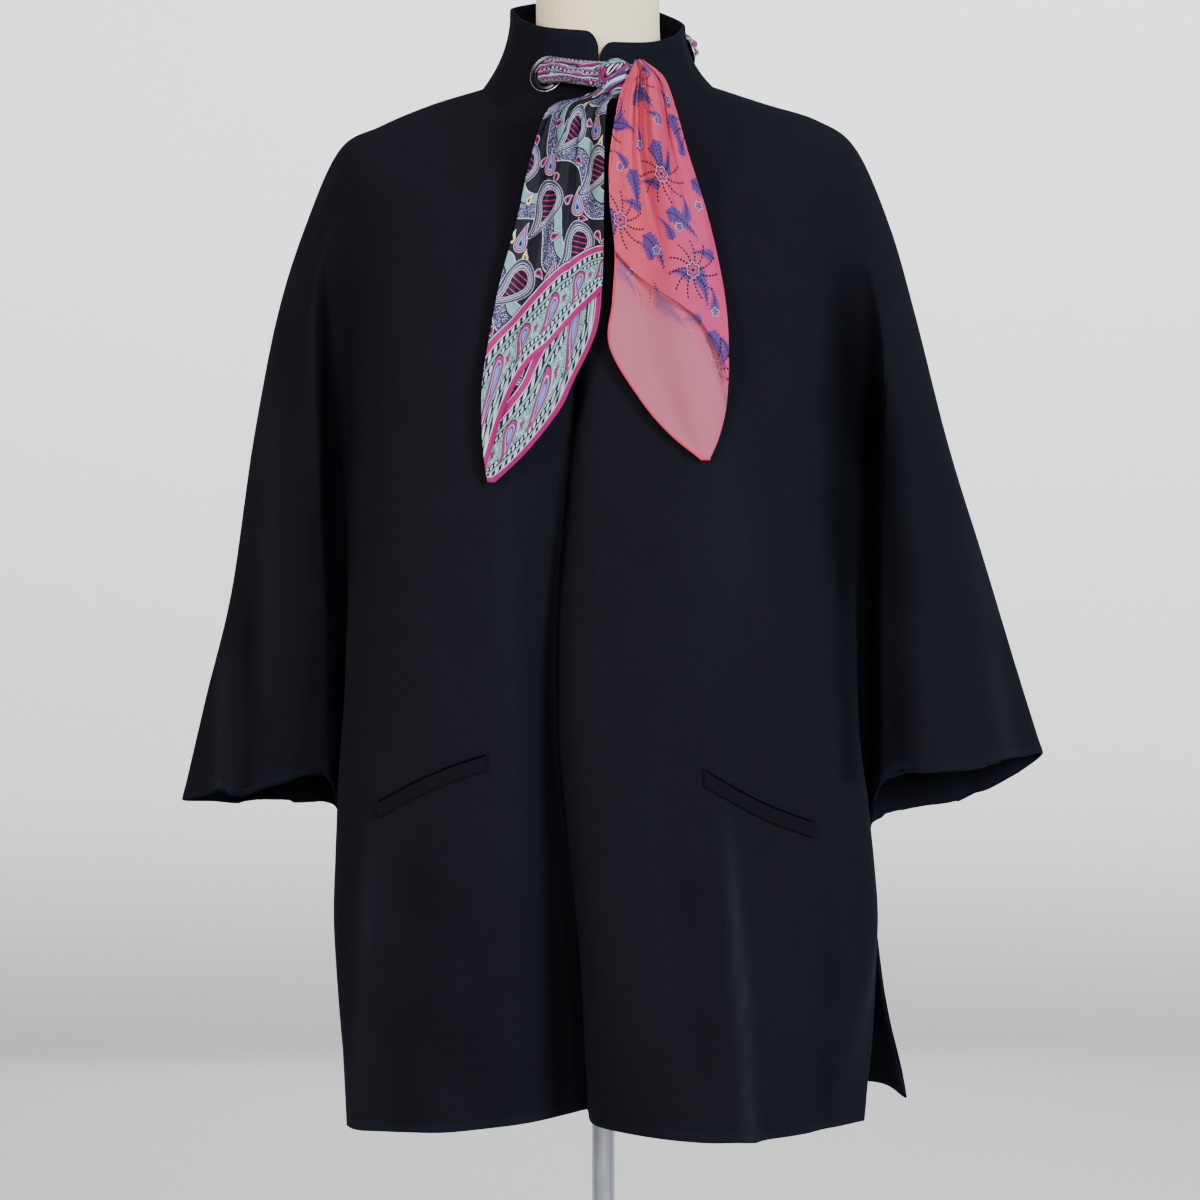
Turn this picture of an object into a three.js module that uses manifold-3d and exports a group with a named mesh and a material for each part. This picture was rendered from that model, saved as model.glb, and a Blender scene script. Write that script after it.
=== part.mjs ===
// Wool cape coat with a silk scarf laced through its collar, on a dress form.
// Millimetres, +Z up. The front faces -Y, and +X is the wearer's left.
// The origin is on the floor at the middle of the form's round base.
//
// The coat is one surface of rings round the body, cut into panels at its seams.
// Each ring passes through stations, the lines that run down the cloth:
// front edge, turn, middle, body edge, valley, sleeve near, sleeve far, overarm seam,
// and the same again on the back up to the centre back.

import * as THREE from 'three';
import Module from 'manifold-3d';
import { mergeVertices } from 'three/addons/utils/BufferGeometryUtils.js';

const wasm = await Module();
wasm.setup();

// Driving sizes of the cloth
const WALL = 2.6;
const SEAM_GAP = 0.3;
const CENTRE_X = -5;
const LAST_RING = 12;
const CUFF_RING = 9;
const SLIT_RING = 10;
const ROWS_PER_RING = 2;

// Small step, in rings or stations, for a direction on the cloth
const NUDGE = 0.05;

function table(columns, rows) {
  const names = columns.split(' ');
  return Object.fromEntries(names.map((name, k) => [name, rows.map((row) => row[k])]));
}

// One row for each ring: neck, yoke, shoulder, shoulder tip, armhole, chest, waist,
// elbow, forearm, cuff, slit top, thigh, hem
const MIDDLE = table('frontZ backZ backY', [
  [1347, 1402, 76],
  [1312, 1380, 90],
  [1276, 1348, 104],
  [1236, 1300, 118],
  [1170, 1220, 128],
  [1095, 1130, 130],
  [1000, 1030, 130],
  [905, 930, 131],
  [825, 845, 133],
  [745, 757, 136],
  [672, 682, 140],
  [590, 600, 145],
  [510, 519, 150],
]);

const FRONT_COLUMNS = 'edgeX edgeY lift turn turnY middleY sideX sideY valleyX valleyY';

const FRONT_RIGHT = table(FRONT_COLUMNS, [
  [-4, -88, 0, 11, -87.5, -78.5, -78, -59.5, -95, -37],
  [-5, -104, 0, 13, -103.5, -97, -106, -72, -128, -42],
  [-9, -114, 0, 16, -113.5, -108, -136, -84, -168, -50],
  [-14, -123, 0, 20, -124, -121, -162, -98, -203, -60],
  [-20, -128, 0, 26, -132, -132, -181, -108, -228, -50],
  [-27, -128, 0, 30, -137, -138, -184, -112, -232, -42],
  [-36, -120, 0, 36, -137, -141, -193, -112, -226, -36],
  [-40, -110, 0, 40, -133, -140, -206, -108, -221, -28],
  [-38, -98, 0, 44, -127, -136, -213, -104, -221, -14],
  [-31, -86, 0, 48, -121, -131, -218, -98, -224, 5],
  [-24, -72, 0, 50, -112, -125, -220, -90, -227, -12],
  [-19, -52, 4, 52, -98, -116, -214, -84, -221, -38],
  [-15, -32, 9, 56, -80, -106, -196, -90, -213, -64],
]);

const FRONT_LEFT = table(FRONT_COLUMNS, [
  [-3, -88, 0, 12, -87.5, -78.5, 68, -59.5, 85, -37],
  [-4, -104, 0, 15, -103.5, -97, 97, -72, 119, -42],
  [-8, -115, 0, 16, -116, -110, 127, -85, 160, -50],
  [-13, -125, 0, 16, -128, -123, 150, -99, 196, -58],
  [-19, -131, 0, 16, -136, -134, 162, -112, 212, -54],
  [-26, -131, 0, 16, -141, -140, 165, -116, 222, -46],
  [-35, -124, 0, 15, -141, -143, 174, -116, 222, -38],
  [-39, -114, 0, 14, -139, -143, 190, -112, 221, -30],
  [-37, -102, 0, 14, -137, -142, 206, -106, 223, -16],
  [-30, -90, 0, 14, -136, -141, 218, -98, 226, 5],
  [-23, -76, 0, 14, -134, -141, 220, -92, 234, -8],
  [-18, -56, 4, 13, -124, -149, 200, -98, 230, -22],
  [-14, -32, 9, 10, -93, -158, 168, -107, 222, -34],
]);

const BACK_COLUMNS = 'sideX sideY valleyX valleyY';

const BACK_RIGHT = table(BACK_COLUMNS, [
  [-74, 54, -94, 33],
  [-104, 68, -128, 42],
  [-134, 82, -166, 50],
  [-160, 95, -202, 60],
  [-184, 104, -230, 62],
  [-190, 106, -236, 56],
  [-196, 104, -234, 50],
  [-204, 102, -230, 44],
  [-212, 100, -226, 30],
  [-219, 98, -224, 5],
  [-221, 98, -227, -12],
  [-214, 104, -215, 24],
  [-203, 114, -205, 58],
]);

const BACK_LEFT = table(BACK_COLUMNS, [
  [64, 54, 84, 33],
  [94, 68, 118, 42],
  [125, 82, 157, 50],
  [152, 95, 194, 60],
  [174, 104, 216, 62],
  [180, 106, 226, 56],
  [188, 104, 228, 50],
  [200, 102, 228, 44],
  [212, 100, 227, 30],
  [220, 98, 226, 5],
  [228, 102, 234, -8],
  [240, 118, 250, 62],
  [250, 138, 271, 108],
]);

// Sleeves, rings neck to cuff: the overarm seam, and how far the cloth stands off it
const SLEEVE_COLUMNS = 'seamX seamY seamZ frontY backY';

const SLEEVE_RIGHT = table(SLEEVE_COLUMNS, [
  [-104, 5, 1393, -31, 28],
  [-148, 4, 1379.5, -30, 30],
  [-192, 4, 1361, -36, 36],
  [-227, 5, 1341, -46, 46],
  [-256, 6, 1277, -48, 54],
  [-280, 8, 1202, -58, 62],
  [-302, 9, 1090, -62, 66],
  [-321, 10, 960, -62, 68],
  [-343, 12, 870, -60, 66],
  [-364, 14, 780, -56, 64],
]);

const SLEEVE_LEFT = table(SLEEVE_COLUMNS, [
  [94, 5, 1395, -31, 28],
  [140, 4, 1380, -30, 30],
  [184, 4, 1366, -36, 36],
  [217, 5, 1342, -46, 46],
  [246, 6, 1277, -48, 54],
  [268, 8, 1202, -56, 62],
  [298, 9, 1085, -60, 66],
  [334, 10, 968, -60, 68],
  [357, 12, 893, -58, 66],
  [380, 14, 820, -54, 64],
]);

// Heights of the cuff's edge: at the underarm point, near the body and far from it
const CUFF = {
  frontRight: { under: 750, near: 806, far: 790 },
  backRight: { under: 750, near: 776, far: 778 },
  backLeft: { under: 742, near: 762, far: 786 },
  frontLeft: { under: 742, near: 800, far: 814 },
};
const CUFF_FADE_FROM = 7;

// Share of the rise from the centre to the overarm seam at each station of a quarter
const RISE = { edge: 0, turn: 0, middle: 0.08, side: 0.38, valley: 0.66, near: 0.8, far: 0.92 };
const MIDDLE_SHARE = 0.55;
const LIFT_AT_TURN = 0.35;
const NEAR_REACH = 14;
const NEAR_SHARE = 0.3;
const FAR_SHARE = 0.68;
const FAR_DEPTH = 0.62;
const BACK_MIDDLE_DEPTH = 0.97;

// Columns of the mesh between one station and the next, round the whole ring
const QUARTER_FRONT = [2, 3, 4, 3, 2, 3, 3];
const QUARTER_BACK = [3, 3, 2, 3, 3, 3];
const COLUMNS = [
  ...QUARTER_FRONT, ...QUARTER_BACK, ...QUARTER_BACK.toReversed(), ...QUARTER_FRONT.toReversed(),
];
const OVERARM_RIGHT = 7;
const CENTRE_BACK = 13;
const OVERARM_LEFT = 19;
const CREASES = [4, 10, 16, 22];

// Smooth curve through evenly numbered values, a Catmull-Rom spline
function through(values, t) {
  const last = values.length - 1;
  const i = Math.max(0, Math.min(Math.floor(t), last - 1));
  const f = Math.min(t, last) - i;
  const b = values[i];
  const c = values[i + 1];
  const a = i > 0 ? values[i - 1] : 2 * b - c;
  const d = i + 2 <= last ? values[i + 2] : 2 * c - b;
  const cubic = -a + 3 * b - 3 * c + d;
  const square = 2 * a - 5 * b + 4 * c - d;
  return (((cubic * f + square) * f + (c - a)) * f + 2 * b) / 2;
}

const mix = (from, to, share) => from + (to - from) * share;

function smoothstep(from, to, value) {
  const t = Math.max(0, Math.min(1, (value - from) / (to - from)));
  return t * t * (3 - 2 * t);
}

// The seven stations of a front quarter, from its edge to the last before the overarm seam
function frontStations(v, front, sleeve, cuff) {
  const at = (column) => through(front[column], v);
  const arm = (column) => through(sleeve[column], Math.min(v, CUFF_RING));
  const middleZ = through(MIDDLE.frontZ, v);
  const side = Math.sign(front.sideX[0]);
  const lower = smoothstep(CUFF_FADE_FROM, CUFF_RING, v);
  const height = (share, cuffZ) => mix(mix(middleZ, arm('seamZ'), share), cuffZ, lower);
  const underZ = v > CUFF_RING ? middleZ : cuff.under;
  const turnX = at('edgeX') + side * at('turn');
  const reach = Math.abs(arm('seamX') - at('valleyX'));
  const nearX = at('valleyX') + side * Math.min(NEAR_REACH, NEAR_SHARE * reach);
  return [
    new THREE.Vector3(at('edgeX'), at('edgeY'), middleZ + at('lift')),
    new THREE.Vector3(turnX, at('turnY'), middleZ + LIFT_AT_TURN * at('lift')),
    new THREE.Vector3(mix(turnX, at('sideX'), MIDDLE_SHARE), at('middleY'), height(RISE.middle, middleZ)),
    new THREE.Vector3(at('sideX'), at('sideY'), height(RISE.side, middleZ)),
    new THREE.Vector3(at('valleyX'), at('valleyY'), height(RISE.valley, underZ)),
    new THREE.Vector3(nearX, arm('frontY'), height(RISE.near, cuff.near)),
    new THREE.Vector3(
      mix(at('valleyX'), arm('seamX'), FAR_SHARE),
      mix(arm('seamY'), arm('frontY'), FAR_DEPTH),
      height(RISE.far, cuff.far),
    ),
  ];
}

// The five stations of a back quarter, from beside the overarm seam to beside the centre back
function backStations(v, back, sleeve, cuff) {
  const at = (column) => through(back[column], v);
  const arm = (column) => through(sleeve[column], Math.min(v, CUFF_RING));
  const middleZ = through(MIDDLE.backZ, v);
  const side = Math.sign(back.sideX[0]);
  const lower = smoothstep(CUFF_FADE_FROM, CUFF_RING, v);
  const height = (share, cuffZ) => mix(mix(middleZ, arm('seamZ'), share), cuffZ, lower);
  const sideZ = v > CUFF_RING ? through(MIDDLE.frontZ, v) : cuff.under;
  const reach = Math.abs(arm('seamX') - at('valleyX'));
  const nearX = at('valleyX') + side * Math.min(NEAR_REACH, NEAR_SHARE * reach);
  return [
    new THREE.Vector3(
      mix(at('valleyX'), arm('seamX'), FAR_SHARE),
      mix(arm('seamY'), arm('backY'), FAR_DEPTH),
      height(RISE.far, cuff.far),
    ),
    new THREE.Vector3(nearX, arm('backY'), height(RISE.near, cuff.near)),
    new THREE.Vector3(at('valleyX'), at('valleyY'), height(RISE.valley, sideZ)),
    new THREE.Vector3(at('sideX'), at('sideY'), height(RISE.side, middleZ)),
    new THREE.Vector3(
      mix(CENTRE_X, at('sideX'), 1 - MIDDLE_SHARE),
      through(MIDDLE.backY, v) * BACK_MIDDLE_DEPTH,
      height(RISE.middle, middleZ),
    ),
  ];
}

function overarm(v, sleeve) {
  const t = Math.min(v, CUFF_RING);
  return new THREE.Vector3(through(sleeve.seamX, t), through(sleeve.seamY, t), through(sleeve.seamZ, t));
}

// All 27 stations of a ring, from the wearer's right front edge round to the left one
function ringStations(v) {
  const stations = [
    ...frontStations(v, FRONT_RIGHT, SLEEVE_RIGHT, CUFF.frontRight),
    overarm(v, SLEEVE_RIGHT),
    ...backStations(v, BACK_RIGHT, SLEEVE_RIGHT, CUFF.backRight),
    new THREE.Vector3(CENTRE_X, through(MIDDLE.backY, v), through(MIDDLE.backZ, v)),
    ...backStations(v, BACK_LEFT, SLEEVE_LEFT, CUFF.backLeft).toReversed(),
    overarm(v, SLEEVE_LEFT),
    ...frontStations(v, FRONT_LEFT, SLEEVE_LEFT, CUFF.frontLeft).toReversed(),
  ];
  if (v >= CUFF_RING && v <= SLIT_RING) {
    for (const [front, back] of [[CREASES[0], CREASES[1]], [CREASES[3], CREASES[2]]]) {
      const seam = stations[front].clone().lerp(stations[back], 0.5);
      stations[front] = seam;
      stations[back] = seam.clone();
    }
  }
  return stations;
}

// A point on the ring at a station number, whole or between two stations:
// a centripetal spline whose tangents part at the four underarm lines near the cuff
function ringPoint(stations, crease, s) {
  const last = stations.length - 1;
  const k = Math.min(Math.floor(s), last - 1);
  const f = s - k;
  const step = (i) => Math.sqrt(Math.max(stations[i].distanceTo(stations[i + 1]), 0.01));
  const slope = (i) => stations[i + 1].clone().sub(stations[i]).divideScalar(step(i));
  const across = (i) => {
    const both = stations[i + 1].clone().sub(stations[i - 1]).divideScalar(step(i - 1) + step(i));
    return slope(i - 1).sub(both).add(slope(i));
  };
  const sharp = (i) => (CREASES.includes(i) ? crease : 0);
  const leaving = k > 0 ? across(k).lerp(slope(k), sharp(k)) : slope(k);
  const arriving = k + 1 < last ? across(k + 1).lerp(slope(k), sharp(k + 1)) : slope(k);
  const h = step(k);
  const f2 = f * f;
  const f3 = f2 * f;
  return stations[k].clone().multiplyScalar(2 * f3 - 3 * f2 + 1)
    .addScaledVector(leaving, (f3 - 2 * f2 + f) * h)
    .addScaledVector(stations[k + 1], 3 * f2 - 2 * f3)
    .addScaledVector(arriving, (f3 - f2) * h);
}

const creaseAt = (v) => smoothstep(CUFF_FADE_FROM, CUFF_RING, v);

const coatPoint = (v, s) => ringPoint(ringStations(v), creaseAt(v), s);

// Station number of each column, and the column of each station
const stationOf = COLUMNS.flatMap((count, k) => Array.from({ length: count }, (_, i) => k + i / count));
stationOf.push(COLUMNS.length);
const columnOf = (station) => stationOf.indexOf(station);
const rowOf = (ring) => ring * ROWS_PER_RING;
const LAST_ROW = rowOf(LAST_RING);
const LAST_COLUMN = stationOf.length - 1;

// Below the cuff the sleeve's columns hold no cloth
const inSleeve = (s) => (s > CREASES[0] && s < CREASES[1]) || (s > CREASES[2] && s < CREASES[3]);

function coatGrid() {
  return Array.from({ length: LAST_ROW + 1 }, (_, row) => {
    const v = row / ROWS_PER_RING;
    const stations = ringStations(v);
    return stationOf.map((s) => (
      v > CUFF_RING && inSleeve(s) ? null : ringPoint(stations, creaseAt(v), s)
    ));
  });
}

// Outward normals of a grid whose rows run down and whose columns run clockwise from above
function gridNormals(grid) {
  const difference = (low, high, here) => (high ?? here).clone().sub(low ?? here);
  return grid.map((row, i) => row.map((point, j) => {
    if (!point) return null;
    const along = difference(row[j - 1], row[j + 1], point);
    const down = difference(grid[i - 1]?.[j], grid[i + 1]?.[j], point);
    return along.cross(down).normalize();
  }));
}

// A closed wall between an outer and an inner grid, with its rim, over the kept quads
function wallGeometry(outer, inner, keep = () => true) {
  const rows = outer.length;
  const columns = outer[0].length;
  const number = (i, j) => i * columns + j;
  const skin = [];
  for (let i = 0; i + 1 < rows; i += 1) {
    for (let j = 0; j + 1 < columns; j += 1) {
      if (!keep(i, j)) continue;
      const [a, b, c, d] = [number(i, j), number(i, j + 1), number(i + 1, j + 1), number(i + 1, j)];
      const down = outer[i][j].distanceTo(outer[i + 1][j + 1]);
      const up = outer[i][j + 1].distanceTo(outer[i + 1][j]);
      if (down < up) skin.push([a, b, c], [a, c, d]);
      else skin.push([a, b, d], [b, c, d]);
    }
  }
  return closedWall([...outer.flat(), ...inner.flat()], skin, rows * columns);
}

// The skin's triangles, the same ones reversed on the inner points, and a rim at each free edge.
// A rim's quad is split from its higher outer point, so two rims face to face never cross.
function closedWall(points, skin, innerStart) {
  const triangles = [];
  const edges = new Set(skin.flatMap(([a, b, c]) => [`${a} ${b}`, `${b} ${c}`, `${c} ${a}`]));
  for (const [a, b, c] of skin) {
    triangles.push([a, b, c], [innerStart + a, innerStart + c, innerStart + b]);
    for (const [from, to] of [[a, b], [b, c], [c, a]]) {
      if (edges.has(`${to} ${from}`)) continue;
      const [innerFrom, innerTo] = [innerStart + from, innerStart + to];
      if (points[from].z > points[to].z) triangles.push([to, from, innerTo], [from, innerFrom, innerTo]);
      else triangles.push([to, from, innerFrom], [to, innerFrom, innerTo]);
    }
  }
  return geometryFrom(points, triangles);
}

// Only the used points are kept, and the faces are turned to point outwards
function geometryFrom(points, triangles) {
  const volume = triangles.reduce((sum, [a, b, c]) => (
    sum + points[a].dot(points[b].clone().cross(points[c]))
  ), 0);
  const used = [...new Set(triangles.flat())];
  const renumbered = new Map(used.map((old, k) => [old, k]));
  const faces = triangles.map(([a, b, c]) => (volume < 0 ? [a, c, b] : [a, b, c]));
  const geometry = new THREE.BufferGeometry();
  const positions = used.flatMap((k) => points[k].toArray());
  geometry.setAttribute('position', new THREE.Float32BufferAttribute(positions, 3));
  geometry.setIndex(faces.flat().map((k) => renumbered.get(k)));
  return geometry;
}

// A closed solid through a list of rings with equal numbers of points, flat at both ends
function loftGeometry(rings) {
  const count = rings[0].length;
  const points = rings.flat();
  const triangles = [];
  for (let i = 0; i + 1 < rings.length; i += 1) {
    for (let j = 0; j < count; j += 1) {
      const next = (j + 1) % count;
      const [a, b] = [i * count + j, i * count + next];
      const [c, d] = [b + count, a + count];
      triangles.push([a, b, c], [a, c, d]);
    }
  }
  for (const [end, turned] of [[0, true], [rings.length - 1, false]]) {
    const middle = points.length;
    const sum = rings[end].reduce((total, point) => total.add(point), new THREE.Vector3());
    points.push(sum.divideScalar(count));
    for (let j = 0; j < count; j += 1) {
      const [a, b] = [end * count + j, end * count + ((j + 1) % count)];
      triangles.push(turned ? [b, a, middle] : [a, b, middle]);
    }
  }
  return geometryFrom(points, triangles);
}

// Materials
const material = (color, roughness, metalness = 0) => (
  new THREE.MeshStandardMaterial({ color, roughness, metalness })
);
const wool = () => material(0x14171f, 0.9);
const paisleySilk = () => material(0xb9b4c6, 0.35);
const coralSilk = () => material(0xd9606e, 0.35);
const darkChrome = () => material(0x55555a, 0.25, 1);
const chrome = () => material(0xb8b8b8, 0.2, 1);
const jersey = () => material(0xd8cdb8, 0.7);

const garment = new THREE.Group();

function add(name, geometry, surface) {
  const mesh = new THREE.Mesh(geometry, surface);
  mesh.name = name;
  garment.add(mesh);
  return mesh;
}

// Collar: the neckline ring carried up, leaning in and then upright
const COLLAR_ROWS = 4;
const COLLAR_TOP_WIDTH = 0.76;
const COLLAR_TOP_DEPTH = 0.84;
const COLLAR_LEAN = 2.2;
const COLLAR_CORNER = 15;
// Heights of the top edge at every eighth of the way round, from the wearer's right front edge
const COLLAR_TOP = [1430, 1438, 1461, 1476, 1484, 1470, 1447, 1425, 1421];

function collarTopHeight(base, s) {
  const right = s < CENTRE_BACK;
  const turn = Math.atan2(Math.abs(base.x - CENTRE_X), -base.y) / Math.PI;
  const share = right ? turn * 0.5 : 1 - turn * 0.5;
  const fromEdge = Math.max(0, Math.abs(base.x - (right ? FRONT_RIGHT : FRONT_LEFT).edgeX[0]));
  const inside = base.y < 0 ? Math.max(0, COLLAR_CORNER - fromEdge) : 0;
  const rounding = COLLAR_CORNER - Math.sqrt(COLLAR_CORNER ** 2 - inside ** 2);
  return through(COLLAR_TOP, share * (COLLAR_TOP.length - 1)) - rounding;
}

function collarPoint(w, s, base = coatPoint(0, s)) {
  const lean = 1 - (1 - w) ** COLLAR_LEAN;
  return new THREE.Vector3(
    CENTRE_X + (base.x - CENTRE_X) * mix(1, COLLAR_TOP_WIDTH, lean),
    base.y * mix(1, COLLAR_TOP_DEPTH, lean),
    mix(base.z, collarTopHeight(base, s), w),
  );
}

const coat = coatGrid();
const collar = Array.from({ length: COLLAR_ROWS + 1 }, (_, row) => (
  stationOf.map((s, j) => collarPoint(1 - row / COLLAR_ROWS, s, coat[0][j]))
));
const coatNormals = gridNormals(coat);
const collarNormals = gridNormals(collar);

// Where two panels are sewn they share one normal, so their rims lie face to face
function shareNormals(first, second) {
  const shared = first.clone().add(second).normalize();
  first.copy(shared);
  second.copy(shared);
}

for (const j of stationOf.keys()) shareNormals(coatNormals[0][j], collarNormals[COLLAR_ROWS][j]);
for (let row = rowOf(CUFF_RING); row <= rowOf(SLIT_RING); row += 1) {
  shareNormals(coatNormals[row][columnOf(CREASES[0])], coatNormals[row][columnOf(CREASES[1])]);
  shareNormals(coatNormals[row][columnOf(CREASES[3])], coatNormals[row][columnOf(CREASES[2])]);
}

// One panel between two columns, its seam edges drawn back by half the seam gap
function panel(name, fromStation, toStation, drawBack) {
  const [first, last] = [columnOf(fromStation), columnOf(toStation)];
  const blank = new THREE.Vector3();
  const outer = coat.map((row, i) => row.slice(first, last + 1).map((point, k) => {
    if (!point) return blank;
    const moved = point.clone();
    moved.y += drawBack(i, first + k) * SEAM_GAP / 2;
    if (i === 0) {
      const down = coat[1][first + k].clone().sub(point).normalize();
      moved.addScaledVector(down, SEAM_GAP / 2);
    }
    return moved;
  }));
  const inner = outer.map((row, i) => row.map((point, k) => {
    const normal = coatNormals[i][first + k];
    return normal ? point.clone().addScaledVector(normal, -WALL) : blank;
  }));
  const middleOf = (k) => (stationOf[first + k] + stationOf[first + k + 1]) / 2;
  const keep = (i, k) => i < rowOf(CUFF_RING) || !inSleeve(middleOf(k));
  return add(name, wallGeometry(outer, inner, keep), wool());
}

const sideSeamRow = (row) => row >= rowOf(CUFF_RING) && row <= rowOf(SLIT_RING);

function frontSeam(row, column) {
  const s = stationOf[column];
  const overarmSeam = s === OVERARM_RIGHT || s === OVERARM_LEFT;
  const sideSeam = (s === CREASES[0] || s === CREASES[3]) && sideSeamRow(row);
  return overarmSeam || sideSeam ? -1 : 0;
}

function backSeam(row, column) {
  const s = stationOf[column];
  const overarmSeam = s === OVERARM_RIGHT || s === OVERARM_LEFT;
  const sideSeam = (s === CREASES[1] || s === CREASES[2]) && sideSeamRow(row);
  return overarmSeam || sideSeam ? 1 : 0;
}

panel('front_right', 0, OVERARM_RIGHT, frontSeam);
panel('front_left', OVERARM_LEFT, COLUMNS.length, frontSeam);
panel('back', OVERARM_RIGHT, OVERARM_LEFT, backSeam);

// Booleans on closed meshes
function solidOf(geometry) {
  const bare = geometry.clone();
  bare.deleteAttribute('normal');
  bare.deleteAttribute('uv');
  const merged = mergeVertices(bare, 1e-4);
  const mesh = new wasm.Mesh({
    numProp: 3,
    vertProperties: new Float32Array(merged.attributes.position.array),
    triVerts: new Uint32Array(merged.index.array),
  });
  return new wasm.Manifold(mesh);
}

function geometryOf(solid) {
  const mesh = solid.getMesh();
  const geometry = new THREE.BufferGeometry();
  geometry.setAttribute('position', new THREE.BufferAttribute(mesh.vertProperties, 3));
  geometry.setIndex(new THREE.BufferAttribute(mesh.triVerts, 1));
  return geometry;
}

// Eyelets: a rolled metal ring with a flange on each side of the collar
const EYELET_HOLE = 10.5;
const EYELET_BARREL = 11.6;
const EYELET_FLANGE = 16;
const EYELET_THICK = 1.5;
const EYELET_CUT = 12.3;
const EYELET_DRILL = 16;
const EYELET_SIDES = 18;
const EYELET_SEAT = 0.5;
const EYELET_LIP = 1.5;
// Where the band is sampled to find the flange's seat: height shares, and stations aside
const SEAT_SAMPLES = { steps: 24, lowW: 0.1, highW: 0.95, reach: 2 };
// Station and height share of each eyelet on the collar
const EYELETS = [
  { name: 'eyelet_front_right', s: 2.22, w: 0.51 },
  { name: 'eyelet_side_right', s: 10.8, w: 0.5 },
  { name: 'eyelet_side_left', s: 16.2, w: 0.5 },
  { name: 'eyelet_front_left', s: 24.07, w: 0.49 },
];

// Outward direction of the collar at a place
function collarOut(w, s) {
  const along = collarPoint(w, s + NUDGE).sub(collarPoint(w, s - NUDGE));
  const down = collarPoint(w - NUDGE, s).sub(collarPoint(w + NUDGE, s));
  return along.cross(down).normalize();
}

// The flat flanges clear the curved band: its highest outer and lowest inner point beneath them
function eyeletFrame({ s, w }) {
  const centre = collarPoint(w, s);
  const out = collarOut(w, s);
  const { steps, lowW, highW, reach } = SEAT_SAMPLES;
  let [front, back] = [0, -WALL];
  for (let i = 0; i <= steps; i += 1) {
    for (let j = 0; j <= steps; j += 1) {
      const place = [mix(lowW, highW, i / steps), s + mix(-reach, reach, j / steps)];
      const point = collarPoint(...place).sub(centre);
      const height = point.dot(out);
      const radius = Math.sqrt(Math.max(0, point.lengthSq() - height ** 2));
      if (radius < EYELET_HOLE || radius > EYELET_FLANGE + 1) continue;
      front = Math.max(front, height);
      back = Math.min(back, height - WALL);
    }
  }
  return { centre, out, front: front + EYELET_SEAT, back: back - EYELET_SEAT };
}

function turnedTo(geometry, { centre, out }) {
  const turn = new THREE.Quaternion().setFromUnitVectors(new THREE.Vector3(0, 1, 0), out);
  return geometry.applyQuaternion(turn).translate(centre.x, centre.y, centre.z);
}

function eyeletGeometry({ front, back }) {
  const profile = [
    [EYELET_HOLE, back - EYELET_THICK / 2],
    [EYELET_FLANGE - 1, back - EYELET_THICK],
    [EYELET_FLANGE, back],
    [EYELET_BARREL, back],
    [EYELET_BARREL, front],
    [EYELET_FLANGE, front],
    [EYELET_FLANGE - 1, front + EYELET_THICK],
    [EYELET_HOLE + EYELET_LIP, front + EYELET_THICK],
    [EYELET_HOLE, front + EYELET_THICK / 2],
    [EYELET_HOLE, back - EYELET_THICK / 2],
  ];
  return new THREE.LatheGeometry(profile.map(([r, y]) => new THREE.Vector2(r, y)), EYELET_SIDES);
}

const eyelets = new Map(EYELETS.map((place) => [place.name, eyeletFrame(place)]));

function buildCollar() {
  const outer = collar.map((row, i) => row.map((point, j) => {
    if (i < COLLAR_ROWS) return point.clone();
    const up = collar[i - 1][j].clone().sub(point).normalize();
    return point.clone().addScaledVector(up, SEAM_GAP / 2);
  }));
  const inner = outer.map((row, i) => row.map((point, j) => (
    point.clone().addScaledVector(collarNormals[i][j], -WALL)
  )));
  const drill = new THREE.CylinderGeometry(EYELET_CUT, EYELET_CUT, EYELET_DRILL, EYELET_SIDES);
  let band = solidOf(wallGeometry(outer, inner));
  for (const frame of eyelets.values()) band = band.subtract(solidOf(turnedTo(drill.clone(), frame)));
  add('collar', geometryOf(band), wool());
}

function buildEyelets() {
  for (const [name, frame] of eyelets) add(name, turnedTo(eyeletGeometry(frame), frame), darkChrome());
}

buildCollar();
buildEyelets();

// The station and ring where a panel passes under a given X and Z
function onPanel(x, z, low, high) {
  const solve = (from, to, value, wanted) => {
    const halvings = 24;
    let [a, b] = [from, to];
    const rising = value(b) > value(a);
    for (let k = 0; k < halvings; k += 1) {
      const half = (a + b) / 2;
      if (value(half) < wanted === rising) a = half;
      else b = half;
    }
    return (a + b) / 2;
  };
  const rounds = 6;
  let s = (low + high) / 2;
  let v = CUFF_RING;
  for (let k = 0; k < rounds; k += 1) {
    v = solve(0, LAST_RING, (t) => coatPoint(t, s).z, z);
    s = solve(low, high, (t) => coatPoint(v, t).x, x);
  }
  const along = coatPoint(v, s + NUDGE).sub(coatPoint(v, s - NUDGE));
  const down = coatPoint(v + NUDGE, s).sub(coatPoint(v - NUDGE, s));
  return { point: coatPoint(v, s), out: along.cross(down).normalize() };
}

// Pocket welts: a slanted strip that lies on the front, made from its points
const WELT_DEPTH = 14;
const WELT_THICK = 2.4;
const WELT_OFF = 0.45;
const WELT_STEPS = 8;
const WELT_ROWS = 2;
const WELTS = [
  { name: 'pocket_welt_right', from: [-186, 787], to: [-96, 827], bow: 4, low: 1, high: 4 },
  { name: 'pocket_welt_left', from: [82, 815], to: [173, 771], bow: -4, low: 22, high: 25 },
];

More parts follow.
